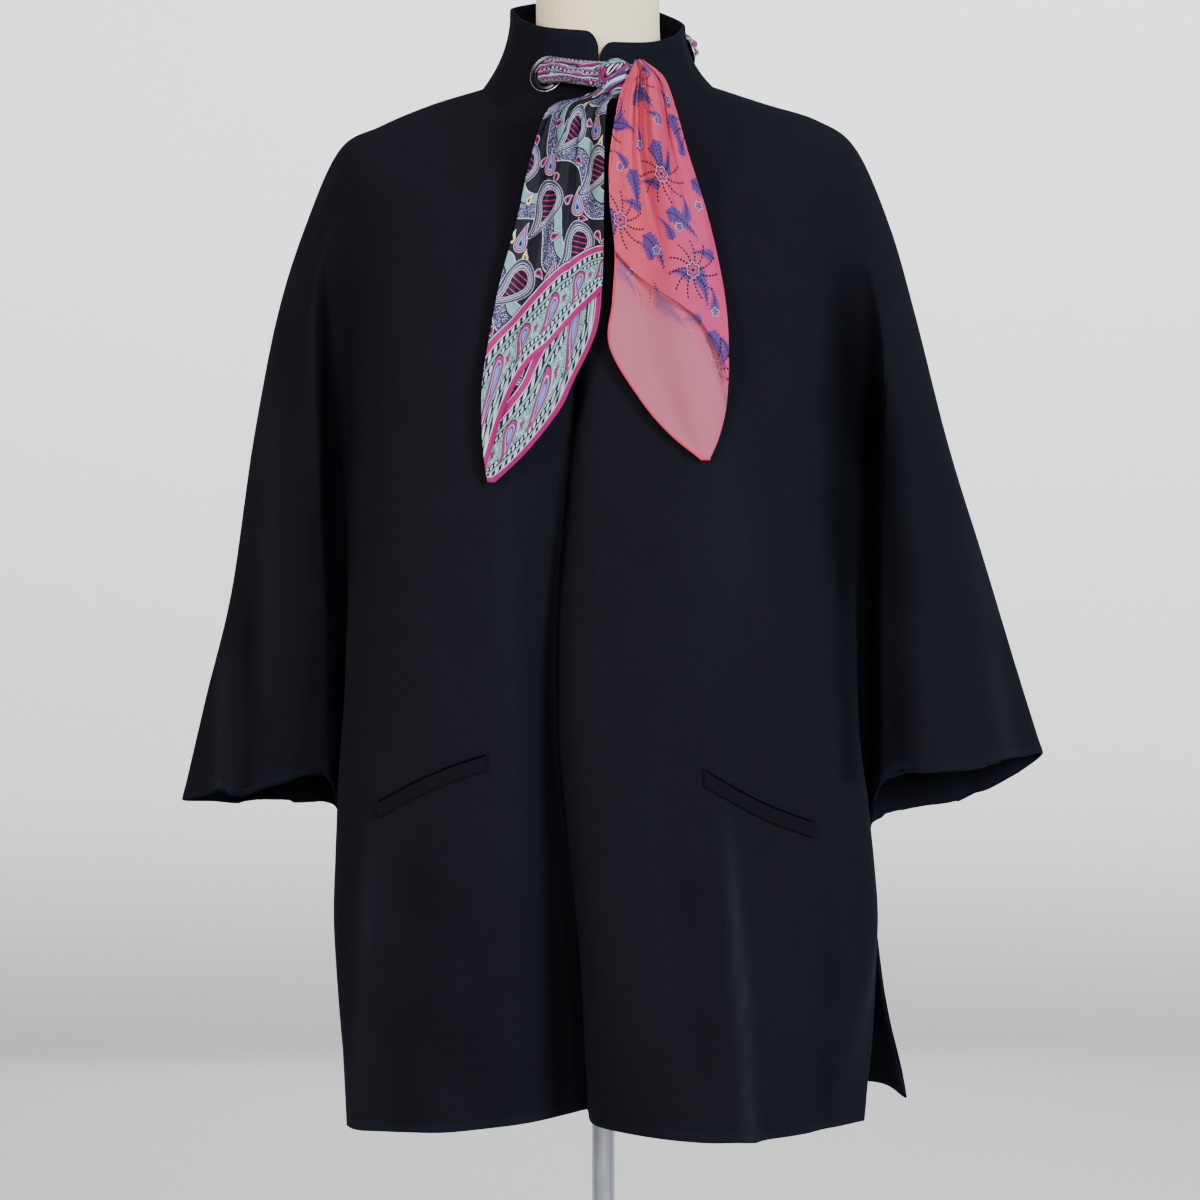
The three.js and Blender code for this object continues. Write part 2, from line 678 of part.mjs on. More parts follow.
function weltGeometry({ from, to, bow, low, high }) {
  const places = Array.from({ length: WELT_ROWS + 1 }, (_, i) => (
    Array.from({ length: WELT_STEPS + 1 }, (__, j) => {
      const t = j / WELT_STEPS;
      const x = mix(from[0], to[0], t);
      const z = mix(from[1], to[1], t) + bow * Math.sin(Math.PI * t) - WELT_DEPTH * i / WELT_ROWS;
      return onPanel(x, z, low, high);
    })
  ));
  const lifted = (off) => places.map((row) => (
    row.map(({ point, out }) => point.clone().addScaledVector(out, off))
  ));
  return wallGeometry(lifted(WELT_OFF + WELT_THICK), lifted(WELT_OFF));
}

for (const welt of WELTS) add(welt.name, weltGeometry(welt), wool());

// A soft band along a path: rings of an upright oval, its height and thickness given by place
function bandGeometry(path, sizes, steps, sides = 10) {
  const curve = new THREE.CatmullRomCurve3(path, false, 'centripetal');
  const up = new THREE.Vector3(0, 0, 1);
  const sizeAt = (values, t) => through(values, t * (values.length - 1));
  const rings = Array.from({ length: steps + 1 }, (_, i) => {
    const t = i / steps;
    const centre = curve.getPoint(t);
    const along = curve.getTangent(t);
    const side = along.clone().cross(up).normalize();
    const rise = side.clone().cross(along).normalize();
    return Array.from({ length: sides }, (__, j) => {
      const angle = 2 * Math.PI * j / sides;
      return centre.clone()
        .addScaledVector(side, sizeAt(sizes.thick, t) / 2 * Math.cos(angle))
        .addScaledVector(rise, sizeAt(sizes.tall, t) / 2 * Math.sin(angle));
    });
  });
  return loftGeometry(rings);
}

// The scarf: laced through the four eyelets and tied in front of the collar
const KNOT = { x: 10, y: -112, z: 1385, wide: 32, deep: 26, tall: 34, sides: 14, rows: 10 };
const TUCK = 9;
const EYELET_MOUTH = 1;

// From a front eyelet to the knot: how far it stands out, and its entry into the knot
const FRONT_STRETCH = {
  out: 9, towardsCentre: 3, bow: 5, entryX: 6, entryZ: 2, steps: 10,
  tall: [15, 18, 21, 25, 22],
  thick: [13, 13, 11, 9, 9],
};

// Inside the collar, from a front eyelet to a side one
const INSIDE_STRETCH = { thick: 4.5, tall: 18, off: 1.6, share: 0.5, steps: 10, sides: 8 };
const INSIDE_STATIONS_RIGHT = [2.1, 3, 4.5, 7, 9.5, 10.8];
const INSIDE_STATIONS_LEFT = [23.9, 23, 21.5, 19, 17.5, 16.1];

// Round the back of the collar: over each eyelet's flange, then flat along the band
const BACK_STRETCH = {
  off: 6.5, share: 0.5, steps: 26, sides: 8,
  flange: [{ out: 7.5, aside: 5 }, { out: 8, aside: 17 }],
  stations: [14.9, 14.4, 13.7, 13, 12.4, 12],
  tall: [14, 16, 18, 21, 24, 24, 24, 24, 21, 18, 16, 14],
  thick: [12, 11, 6, 4.5, 5, 5, 5, 5, 4.5, 6, 11, 12],
};

const offEyelet = (name, off) => {
  const { centre, out } = eyelets.get(name);
  return centre.clone().addScaledVector(out, off);
};

const offCollar = (s, w, off) => collarPoint(w, s).addScaledVector(collarOut(w, s), off);

function knotGeometry(grow = 0) {
  return new THREE.SphereGeometry(0.5, KNOT.sides, KNOT.rows)
    .scale(KNOT.wide + grow, KNOT.deep + grow, KNOT.tall + grow)
    .translate(KNOT.x, KNOT.y, KNOT.z);
}

// What runs into the knot is cut 0.3 mm short of it
const clearOfKnot = (geometry) => (
  geometryOf(solidOf(geometry).subtract(solidOf(knotGeometry(2 * SEAM_GAP))))
);

function buildFrontStretch(name, eyeletName, side) {
  const { out, towardsCentre, bow, entryX, entryZ, steps, tall, thick } = FRONT_STRETCH;
  const from = offEyelet(eyeletName, out);
  const into = new THREE.Vector3(KNOT.x + side * entryX, KNOT.y, KNOT.z + entryZ);
  const halfway = from.clone().lerp(into, 0.5);
  const path = [
    offEyelet(eyeletName, -TUCK),
    offEyelet(eyeletName, EYELET_MOUTH),
    from.clone().add(new THREE.Vector3(-side * towardsCentre, 0, 0)),
    halfway.add(new THREE.Vector3(0, -bow, 0)),
    into,
  ];
  add(name, clearOfKnot(bandGeometry(path, { tall, thick }, steps)), paisleySilk());
}

// Its outer face lies just behind the ends that come through the eyelets
function buildInsideStretch(name, stations) {
  const { thick, tall, off, share, steps, sides } = INSIDE_STRETCH;
  const path = stations.map((s) => offCollar(s, share, -(TUCK + off + thick / 2)));
  const sizes = { tall: [tall, tall], thick: [thick, thick] };
  add(name, bandGeometry(path, sizes, steps, sides), paisleySilk());
}

// Points over an eyelet's flange, aside from its middle towards a place on the collar
function overFlange(eyeletName, s) {
  const middle = offEyelet(eyeletName, 0);
  const towards = offCollar(s, BACK_STRETCH.share, 0).sub(middle);
  const away = towards.projectOnPlane(eyelets.get(eyeletName).out).normalize();
  return BACK_STRETCH.flange.map(({ out, aside }) => (
    offEyelet(eyeletName, out).addScaledVector(away, aside)
  ));
}

function buildBackStretch(name, from, to) {
  const { off, share, stations, steps, sides, tall, thick } = BACK_STRETCH;
  const path = [
    offEyelet(from, -TUCK),
    offEyelet(from, EYELET_MOUTH),
    ...overFlange(from, stations[0]),
    ...stations.map((s) => offCollar(s, share, off)),
    ...overFlange(to, stations.at(-1)).toReversed(),
    offEyelet(to, EYELET_MOUTH),
    offEyelet(to, -TUCK),
  ];
  add(name, bandGeometry(path, { tall, thick }, steps, sides), paisleySilk());
}

// A tail is a gathered sheet: rows across it from the knot to the tip
const TAIL_THICK = 2.2;
const TAIL_COLUMNS = 10;
const TAIL_ROWS_PER_ROW = 1.5;
const TAIL_WAVES = 1.6;
const TAIL_PHASE = { right: 0.1, left: 0.35 };
const TAIL_COLUMN_NAMES = 'z left right y fold';

const TAIL_RIGHT = table(TAIL_COLUMN_NAMES, [
  [1379, 2, 12, -113, 2],
  [1369, -20, 7, -112, 4],
  [1359, -46, 2, -114, 5],
  [1320, -60, 0, -121, 6],
  [1263, -72, 0, -131, 5],
  [1214, -85, -1, -139, 4],
  [1173, -93, -6, -144, 3.5],
  [1133, -99, -24, -148, 3],
  [1108, -100, -36, -149.5, 2.5],
  [1075, -98.6, -62, -150, 1.5],
  [1049, -95, -89, -150, 0.5],
]);

const TAIL_LEFT = table(TAIL_COLUMN_NAMES, [
  [1399, 13, 38, -119, 1.5],
  [1386, 12, 48, -120.5, 3],
  [1366, 8, 57, -120.5, 4],
  [1320, 4.5, 70, -123, 5],
  [1280, 5, 83, -128, 5.5],
  [1239, 9, 93, -135, 5],
  [1198, 6.8, 100, -141, 4],
  [1160, 4.5, 102.4, -145, 3],
  [1116, 30, 101, -148, 2.5],
  [1088, 54, 95, -149.5, 1.5],
  [1067, 80, 86.5, -150, 0.5],
]);

function tailGeometry(rows, phase) {
  const last = rows.z.length - 1;
  const steps = TAIL_ROWS_PER_ROW * last;
  const sheet = Array.from({ length: steps + 1 }, (_, i) => {
    const at = (column) => through(rows[column], i / TAIL_ROWS_PER_ROW);
    return Array.from({ length: TAIL_COLUMNS + 1 }, (__, j) => {
      const u = j / TAIL_COLUMNS;
      const wave = Math.cos(2 * Math.PI * (TAIL_WAVES * u + phase));
      return new THREE.Vector3(mix(at('right'), at('left'), u), at('y') - at('fold') * wave, at('z'));
    });
  });
  const normals = gridNormals(sheet);
  const shifted = (off) => sheet.map((row, i) => row.map((point, j) => (
    point.clone().addScaledVector(normals[i][j], off)
  )));
  return wallGeometry(shifted(TAIL_THICK / 2), shifted(-TAIL_THICK / 2));
}

function buildScarf() {
  buildFrontStretch('scarf_front_right', 'eyelet_front_right', -1);
  buildFrontStretch('scarf_front_left', 'eyelet_front_left', 1);
  buildInsideStretch('scarf_inside_right', INSIDE_STATIONS_RIGHT);
  buildInsideStretch('scarf_inside_left', INSIDE_STATIONS_LEFT);
  buildBackStretch('scarf_back', 'eyelet_side_left', 'eyelet_side_right');
  add('scarf_knot', knotGeometry(), paisleySilk());
  add('scarf_tail_right', clearOfKnot(tailGeometry(TAIL_RIGHT, TAIL_PHASE.right)), paisleySilk());
  add('scarf_tail_left', clearOfKnot(tailGeometry(TAIL_LEFT, TAIL_PHASE.left)), coralSilk());
}

buildScarf();

// Dress form: its yoke follows the coat's yoke from below, the rest is its own rings
const REST_GAP = 0.4;
const YOKE_SLACK = 5;
const YOKE_ROWS = [0, 1, 2, 3, 4];
const NECKLINE_SLACK = 6;
const FORM_EVERY = 2;
const NECK_CENTRE_Y = 6;

const FORM_COLUMNS = 'frontZ sideZ backZ half frontY backY';

const FORM_NECK = table(FORM_COLUMNS, [
  [1500, 1500, 1500, 54, -48, 60],
  [1440, 1440, 1440, 54, -48, 60],
  [1404, 1416, 1418, 57, -50, 64],
  [1372, 1398, 1400, 66, -56, 70],
]);

const FORM_BODY = table(FORM_COLUMNS, [
  [1238, 1322, 1275, 197, -117, 108],
  [1200, 1275, 1225, 188, -120, 112],
  [1150, 1200, 1160, 172, -122, 112],
  [1095, 1120, 1090, 160, -116, 104],
  [1010, 1020, 1010, 134, -98, 86],
  [930, 935, 930, 150, -92, 98],
  [870, 870, 870, 166, -86, 108],
  [820, 820, 820, 168, -78, 106],
  [800, 800, 800, 156, -68, 96],
  [792, 792, 792, 132, -52, 80],
]);

// Power of the ring's outline: 2 is an ellipse, more is squarer
const FORM_ROUND = 2;
const FORM_SQUARE = 2.3;

function formRing(rows, k, square) {
  const row = Object.fromEntries(Object.entries(rows).map(([name, values]) => [name, values[k]]));
  const power = 2 / square;
  const shaped = (value) => Math.sign(value) * Math.abs(value) ** power;
  const count = LAST_COLUMN / FORM_EVERY;
  return Array.from({ length: count }, (_, j) => {
    const angle = 2 * Math.PI * j / count;
    const [s, c] = [-Math.sin(angle), Math.cos(angle)];
    const [endZ, depth] = c > 0 ? [row.frontZ, -row.frontY] : [row.backZ, row.backY];
    return new THREE.Vector3(
      CENTRE_X + row.half * shaped(s),
      -depth * shaped(c),
      mix(endZ, row.sideZ, s * s),
    );
  });
}

// The coat's ring drawn in by the wall and a gap that is least along the shoulder line
function yokeRing(row) {
  const count = LAST_COLUMN / FORM_EVERY;
  return Array.from({ length: count }, (_, k) => {
    const j = k * FORM_EVERY;
    const s = stationOf[j];
    const away = Math.min(Math.abs(s - OVERARM_RIGHT), Math.abs(s - OVERARM_LEFT)) / OVERARM_RIGHT;
    const drawIn = WALL + REST_GAP + YOKE_SLACK * away * away + (row === 0 ? NECKLINE_SLACK : 0);
    return coat[row][j].clone().addScaledVector(coatNormals[row][j], -drawIn);
  });
}

function buildForm() {
  const rings = [
    ...FORM_NECK.frontZ.keys().map((k) => formRing(FORM_NECK, k, FORM_ROUND)),
    ...YOKE_ROWS.map(yokeRing),
    ...FORM_BODY.frontZ.keys().map((k) => formRing(FORM_BODY, k, FORM_SQUARE)),
  ];
  add('form_body', loftGeometry(rings), jersey());
}

const NECK_TOP = FORM_NECK.frontZ[0];
const FORM_BOTTOM = FORM_BODY.frontZ.at(-1);
const CAP_RADIUS = 55;
const CAP_THICK = 10;
const CAP_ROUND = 3;
const BASE_RADIUS = 165;
const BASE_THICK = 9;
const BASE_RIM = 2;
const POLE_RADIUS = 10;
const CAP_SIDES = 28;
const POLE_SIDES = 24;
const BASE_SIDES = 40;

const lathe = (profile, sides) => (
  new THREE.LatheGeometry(profile.map(([r, z]) => new THREE.Vector2(r, z)), sides).rotateX(Math.PI / 2)
);

function buildStand() {
  const low = NECK_TOP + SEAM_GAP;
  const capProfile = [
    [0, low], [CAP_RADIUS, low], [CAP_RADIUS, low + CAP_THICK - CAP_ROUND],
    [CAP_RADIUS - CAP_ROUND, low + CAP_THICK], [0, low + CAP_THICK],
  ];
  add('form_neck_cap', lathe(capProfile, CAP_SIDES).translate(CENTRE_X, NECK_CENTRE_Y, 0), chrome());
  const poleFoot = BASE_THICK + SEAM_GAP;
  const poleHead = FORM_BOTTOM - SEAM_GAP;
  const poleProfile = [[0, poleFoot], [POLE_RADIUS, poleFoot], [POLE_RADIUS, poleHead], [0, poleHead]];
  add('form_pole', lathe(poleProfile, POLE_SIDES), chrome());
  const baseProfile = [
    [0, 0], [BASE_RADIUS, 0], [BASE_RADIUS, BASE_THICK - BASE_RIM],
    [BASE_RADIUS - BASE_RIM, BASE_THICK], [0, BASE_THICK],
  ];
  add('form_base', lathe(baseProfile, BASE_SIDES), chrome());
}

buildForm();
buildStand();

export default garment;
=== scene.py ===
"""Looks of a navy wool cape coat, tied by a silk scarf through its collar, on a limbless dress form.

Lengths are in millimetres until a mesh is made. +Z is up, the front faces -Y, and +X is the wearer's
left.
"""
import math

import bmesh
import bpy
import numpy as np
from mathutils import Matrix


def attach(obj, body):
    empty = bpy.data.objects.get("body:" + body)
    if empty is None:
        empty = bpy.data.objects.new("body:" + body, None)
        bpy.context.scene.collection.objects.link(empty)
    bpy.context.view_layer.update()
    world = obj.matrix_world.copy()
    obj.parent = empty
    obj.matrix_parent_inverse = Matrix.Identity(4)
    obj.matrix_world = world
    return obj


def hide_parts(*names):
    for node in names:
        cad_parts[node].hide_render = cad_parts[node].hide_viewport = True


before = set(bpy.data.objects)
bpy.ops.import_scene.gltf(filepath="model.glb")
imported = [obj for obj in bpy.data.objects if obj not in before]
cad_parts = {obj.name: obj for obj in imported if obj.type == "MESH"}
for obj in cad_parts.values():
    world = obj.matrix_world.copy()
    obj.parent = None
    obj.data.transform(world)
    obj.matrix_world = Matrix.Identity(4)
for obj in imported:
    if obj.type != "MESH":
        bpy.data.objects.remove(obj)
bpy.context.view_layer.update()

MM = 0.001
BODY = "root"

# Cloth
WALL = 2.6
HALF_WALL = WALL / 2
CENTRE_X = -5.0
LAST_RING = 12
CUFF_RING = 9
SLIT_RING = 10
CUFF_FADE_FROM = 7
BAND_WIDTH = 8.0
SEAM_ROUNDING = 0.3
BAND_EXTRA = 0.3


def table(columns, rows):
    """Named columns of a short table, each as one array."""
    return dict(zip(columns.split(), np.array(rows, float).T))


# One row for each ring: neck, yoke, shoulder, shoulder tip, armhole, chest, waist,
# elbow, forearm, cuff, slit top, thigh, hem
MIDDLE = table("front_z back_z back_y", [
    [1347, 1402, 76],
    [1312, 1380, 90],
    [1276, 1348, 104],
    [1236, 1300, 118],
    [1170, 1220, 128],
    [1095, 1130, 130],
    [1000, 1030, 130],
    [905, 930, 131],
    [825, 845, 133],
    [745, 757, 136],
    [672, 682, 140],
    [590, 600, 145],
    [510, 519, 150],
])

FRONT_COLUMNS = "edge_x edge_y lift turn turn_y middle_y side_x side_y valley_x valley_y"

FRONT_RIGHT = table(FRONT_COLUMNS, [
    [-4, -88, 0, 11, -87.5, -78.5, -78, -59.5, -95, -37],
    [-5, -104, 0, 13, -103.5, -97, -106, -72, -128, -42],
    [-9, -114, 0, 16, -113.5, -108, -136, -84, -168, -50],
    [-14, -123, 0, 20, -124, -121, -162, -98, -203, -60],
    [-20, -128, 0, 26, -132, -132, -181, -108, -228, -50],
    [-27, -128, 0, 30, -137, -138, -184, -112, -232, -42],
    [-36, -120, 0, 36, -137, -141, -193, -112, -226, -36],
    [-40, -110, 0, 40, -133, -140, -206, -108, -221, -28],
    [-38, -98, 0, 44, -127, -136, -213, -104, -221, -14],
    [-31, -86, 0, 48, -121, -131, -218, -98, -224, 5],
    [-24, -72, 0, 50, -112, -125, -220, -90, -227, -12],
    [-19, -52, 4, 52, -98, -116, -214, -84, -221, -38],
    [-15, -32, 9, 56, -80, -106, -196, -90, -213, -64],
])

FRONT_LEFT = table(FRONT_COLUMNS, [
    [-3, -88, 0, 12, -87.5, -78.5, 68, -59.5, 85, -37],
    [-4, -104, 0, 15, -103.5, -97, 97, -72, 119, -42],
    [-8, -115, 0, 16, -116, -110, 127, -85, 160, -50],
    [-13, -125, 0, 16, -128, -123, 150, -99, 196, -58],
    [-19, -131, 0, 16, -136, -134, 162, -112, 212, -54],
    [-26, -131, 0, 16, -141, -140, 165, -116, 222, -46],
    [-35, -124, 0, 15, -141, -143, 174, -116, 222, -38],
    [-39, -114, 0, 14, -139, -143, 190, -112, 221, -30],
    [-37, -102, 0, 14, -137, -142, 206, -106, 223, -16],
    [-30, -90, 0, 14, -136, -141, 218, -98, 226, 5],
    [-23, -76, 0, 14, -134, -141, 220, -92, 234, -8],
    [-18, -56, 4, 13, -124, -149, 200, -98, 230, -22],
    [-14, -32, 9, 10, -93, -158, 168, -107, 222, -34],
])

BACK_COLUMNS = "side_x side_y valley_x valley_y"

BACK_RIGHT = table(BACK_COLUMNS, [
    [-74, 54, -94, 33],
    [-104, 68, -128, 42],
    [-134, 82, -166, 50],
    [-160, 95, -202, 60],
    [-184, 104, -230, 62],
    [-190, 106, -236, 56],
    [-196, 104, -234, 50],
    [-204, 102, -230, 44],
    [-212, 100, -226, 30],
    [-219, 98, -224, 5],
    [-221, 98, -227, -12],
    [-214, 104, -215, 24],
    [-203, 114, -205, 58],
])

BACK_LEFT = table(BACK_COLUMNS, [
    [64, 54, 84, 33],
    [94, 68, 118, 42],
    [125, 82, 157, 50],
    [152, 95, 194, 60],
    [174, 104, 216, 62],
    [180, 106, 226, 56],
    [188, 104, 228, 50],
    [200, 102, 228, 44],
    [212, 100, 227, 30],
    [220, 98, 226, 5],
    [228, 102, 234, -8],
    [240, 118, 250, 62],
    [250, 138, 271, 108],
])

# Sleeves, rings neck to cuff: the overarm seam, and how far the cloth stands off it
SLEEVE_COLUMNS = "seam_x seam_y seam_z front_y back_y"

SLEEVE_RIGHT = table(SLEEVE_COLUMNS, [
    [-104, 5, 1393, -31, 28],
    [-148, 4, 1379.5, -30, 30],
    [-192, 4, 1361, -36, 36],
    [-227, 5, 1341, -46, 46],
    [-256, 6, 1277, -48, 54],
    [-280, 8, 1202, -58, 62],
    [-302, 9, 1090, -62, 66],
    [-321, 10, 960, -62, 68],
    [-343, 12, 870, -60, 66],
    [-364, 14, 780, -56, 64],
])

SLEEVE_LEFT = table(SLEEVE_COLUMNS, [
    [94, 5, 1395, -31, 28],
    [140, 4, 1380, -30, 30],
    [184, 4, 1366, -36, 36],
    [217, 5, 1342, -46, 46],
    [246, 6, 1277, -48, 54],
    [268, 8, 1202, -56, 62],
    [298, 9, 1085, -60, 66],
    [334, 10, 968, -60, 68],
    [357, 12, 893, -58, 66],
    [380, 14, 820, -54, 64],
])

# Heights of the cuff's edge: at the underarm point, near the body and far from it
CUFF_FRONT_RIGHT = {"under": 750, "near": 806, "far": 790}
CUFF_BACK_RIGHT = {"under": 750, "near": 776, "far": 778}
CUFF_BACK_LEFT = {"under": 742, "near": 762, "far": 786}
CUFF_FRONT_LEFT = {"under": 742, "near": 800, "far": 814}

# Share of the rise from the centre to the overarm seam at each station of a quarter
RISE = {"middle": 0.08, "side": 0.38, "valley": 0.66, "near": 0.8, "far": 0.92}
MIDDLE_SHARE = 0.55
LIFT_AT_TURN = 0.35
NEAR_REACH = 14
NEAR_SHARE = 0.3
FAR_SHARE = 0.68
FAR_DEPTH = 0.62
BACK_MIDDLE_DEPTH = 0.97

# Stations that end a panel or carry a seam
OVERARM_RIGHT = 7
CENTRE_BACK = 13
OVERARM_LEFT = 19
LAST_STATION = 26
CREASES = [4, 10, 16, 22]


def mix(low, high, share):
    """The value at a share of the way from low to high."""
    return low + (high - low) * share


def smoothstep(low, high, value):
    """0 below low, 1 above high, and 3t^2 - 2t^3 between."""
    t = np.clip((value - low) / (high - low), 0.0, 1.0)
    return t * t * (3.0 - 2.0 * t)


def through(values, t):
    """Catmull-Rom curve through evenly numbered values, at the numbers t."""
    values = np.asarray(values, float)
    t = np.asarray(t, float)
    last = len(values) - 1
    i = np.clip(np.floor(t).astype(int), 0, last - 1)
    f = np.minimum(t, last) - i
    first, final = i == 0, i + 2 > last
    if values.ndim == 2:
        f, first, final = f[..., None], first[..., None], final[..., None]
    b = values[i]
    c = values[i + 1]
    a = np.where(first, 2 * b - c, values[np.maximum(i - 1, 0)])
    d = np.where(final, 2 * c - b, values[np.minimum(i + 2, last)])
    cubic = -a + 3 * b - 3 * c + d
    square = 2 * a - 5 * b + 4 * c - d
    return (((cubic * f + square) * f + (c - a)) * f + 2 * b) / 2


def bell(distance, reach):
    """exp(-(distance / reach)^2)."""
    return np.exp(-((distance / reach) ** 2))


def unit_lines(count, close):
    """Even numbers from 0 to 1, and closer ones beside both ends."""
    return np.unique(np.concatenate([np.linspace(0, 1, count), close, 1 - close]))


def points(x, y, z):
    """Three arrays of any shapes that fit, as one array of points."""
    return np.stack(np.broadcast_arrays(x, y, z), axis=-1).astype(float)


def unit(vectors):
    """The same directions, one long."""
    return vectors / np.maximum(np.linalg.norm(vectors, axis=-1, keepdims=True), 1e-9)


def hermite(knots, s, sharp=None):
    """Centripetal spline through the knots of each row, at the numbers s.

    A knot's tangent is slope before - chord over both + slope after, with each slope over the square root
    of its chord. Where sharp is 1, the tangents on its two sides part and follow their own chords.
    """
    last = knots.shape[1] - 1
    k = np.clip(np.floor(s).astype(int), 0, last - 1)
    f = (s - k)[None, :, None]
    chord = knots[:, 1:] - knots[:, :-1]
    step = np.sqrt(np.maximum(np.linalg.norm(chord, axis=2, keepdims=True), 0.01))
    slope = chord / step
    both = (knots[:, 2:] - knots[:, :-2]) / (step[:, :-1] + step[:, 1:])
    across = slope[:, :-1] - both + slope[:, 1:]
    part = np.zeros_like(knots[:, 1:-1, :1]) if sharp is None else sharp[:, 1:-1]
    leaving = slope.copy()
    leaving[:, 1:] = mix(across, slope[:, 1:], part)
    arriving = slope.copy()
    arriving[:, :-1] = mix(across, slope[:, :-1], part)
    h = step[:, k]
    return (
        (2 * f**3 - 3 * f**2 + 1) * knots[:, k]
        + (f**3 - 2 * f**2 + f) * h * leaving[:, k]
        + (3 * f**2 - 2 * f**3) * knots[:, k + 1]
        + (f**3 - f**2) * h * arriving[:, k]
    )


# The coat as rings and stations

def quarter(v, body, sleeve, arm_side, middle_z, under_z, cuff):
    """What a front and a back quarter share: heights by rise, and the two sleeve stations."""
    arm_v = np.minimum(v, CUFF_RING)
    seam_x = through(sleeve["seam_x"], arm_v)
    seam_y = through(sleeve["seam_y"], arm_v)
    seam_z = through(sleeve["seam_z"], arm_v)
    stand_y = through(sleeve[arm_side], arm_v)
    valley_x = through(body["valley_x"], v)
    side = np.sign(body["side_x"][0])
    lower = smoothstep(CUFF_FADE_FROM, CUFF_RING, v)

    def height(name, cuff_z):
        return mix(mix(middle_z, seam_z, RISE[name]), cuff_z, lower)

    near_x = valley_x + side * np.minimum(NEAR_REACH, NEAR_SHARE * np.abs(seam_x - valley_x))
    valley = points(valley_x, through(body["valley_y"], v), height("valley", under_z))
    near = points(near_x, stand_y, height("near", cuff["near"]))
    far_x, far_y = mix(valley_x, seam_x, FAR_SHARE), mix(seam_y, stand_y, FAR_DEPTH)
    far = points(far_x, far_y, height("far", cuff["far"]))
    edge = points(through(body["side_x"], v), through(body["side_y"], v), height("side", middle_z))
    return height, edge, valley, near, far


def front_stations(v, front, sleeve, cuff):
    """The seven stations of a front quarter, from its edge to the last before the overarm seam."""
    middle_z = through(MIDDLE["front_z"], v)
    under_z = np.where(v > CUFF_RING, middle_z, cuff["under"])
    height, side, valley, near, far = quarter(v, front, sleeve, "front_y", middle_z, under_z, cuff)
    edge_x = through(front["edge_x"], v)
    lift = through(front["lift"], v)
    turn_x = edge_x + np.sign(front["side_x"][0]) * through(front["turn"], v)
    middle_x = mix(turn_x, through(front["side_x"], v), MIDDLE_SHARE)
    return [
        points(edge_x, through(front["edge_y"], v), middle_z + lift),
        points(turn_x, through(front["turn_y"], v), middle_z + LIFT_AT_TURN * lift),
        points(middle_x, through(front["middle_y"], v), height("middle", middle_z)),
        side, valley, near, far,
    ]


def back_stations(v, back, sleeve, cuff):
    """The five stations of a back quarter, from beside the overarm seam to beside the centre back."""
    middle_z = through(MIDDLE["back_z"], v)
    under_z = np.where(v > CUFF_RING, through(MIDDLE["front_z"], v), cuff["under"])
    height, side, valley, near, far = quarter(v, back, sleeve, "back_y", middle_z, under_z, cuff)
    middle_x = mix(CENTRE_X, through(back["side_x"], v), 1 - MIDDLE_SHARE)
    middle_y = through(MIDDLE["back_y"], v) * BACK_MIDDLE_DEPTH
    return [far, near, valley, side, points(middle_x, middle_y, height("middle", middle_z))]


def overarm(v, sleeve):
    """The overarm seam's own station."""
    arm_v = np.minimum(v, CUFF_RING)
    return points(*(through(sleeve[name], arm_v) for name in ("seam_x", "seam_y", "seam_z")))


def ring_stations(v):
    """All 27 stations of each ring, from the wearer's right front edge round to the left one."""
    centre = points(CENTRE_X, through(MIDDLE["back_y"], v), through(MIDDLE["back_z"], v))
    stations = np.stack([
        *front_stations(v, FRONT_RIGHT, SLEEVE_RIGHT, CUFF_FRONT_RIGHT),
        overarm(v, SLEEVE_RIGHT),
        *back_stations(v, BACK_RIGHT, SLEEVE_RIGHT, CUFF_BACK_RIGHT),
        centre,
        *back_stations(v, BACK_LEFT, SLEEVE_LEFT, CUFF_BACK_LEFT)[::-1],
        overarm(v, SLEEVE_LEFT),
        *front_stations(v, FRONT_LEFT, SLEEVE_LEFT, CUFF_FRONT_LEFT)[::-1],
    ], axis=1)
    sewn = (v >= CUFF_RING) & (v <= SLIT_RING)
    for front, back in ((CREASES[0], CREASES[1]), (CREASES[3], CREASES[2])):
        seam = (stations[:, front] + stations[:, back]) / 2
        stations[sewn, front] = seam[sewn]
        stations[sewn, back] = seam[sewn]
    return stations


def coat_points(v, s):
    """The coat's outer face at rings v and stations s, as a grid of points."""
    sharp = np.zeros((len(v), LAST_STATION + 1, 1))
    sharp[:, CREASES] = smoothstep(CUFF_FADE_FROM, CUFF_RING, v)[:, None, None]
    return hermite(ring_stations(v), s, sharp)


def in_sleeve(s):
    """True where the cloth at a station is sleeve and ends at the cuff."""
    return ((s > CREASES[0]) & (s < CREASES[1])) | ((s > CREASES[2]) & (s < CREASES[3]))


# Grid lines, closer together beside every edge so that it can be rounded
ROWS_PER_RING = 12
COLUMNS_PER_STATION = 13
RIM_STEPS = np.array([0.12, 0.42, 0.85, 1.35, 2.2])
RIM_ROWS = [(0, 1, 40), (CUFF_RING, -1, 80), (LAST_RING, -1, 80)]
RIM_COLUMNS = [
    (0, 1, 24), (4, -1, 45), (7, -1, 45), (7, 1, 45), (10, 1, 55), (16, -1, 55),
    (19, -1, 45), (19, 1, 45), (22, 1, 45), (26, -1, 14),
]


def lines_with_rims(last, per_unit, rims):
    """Even numbers from 0 to last, and closer ones beside each rim: (place, direction, mm for each unit)."""
    even = np.linspace(0, last, last * per_unit + 1)
    close = [place + way * RIM_STEPS / pitch for place, way, pitch in rims]
    return np.unique(np.round(np.concatenate([even, *close]), 6))


V = lines_with_rims(LAST_RING, ROWS_PER_RING, RIM_ROWS)
S = lines_with_rims(LAST_STATION, COLUMNS_PER_STATION, RIM_COLUMNS)


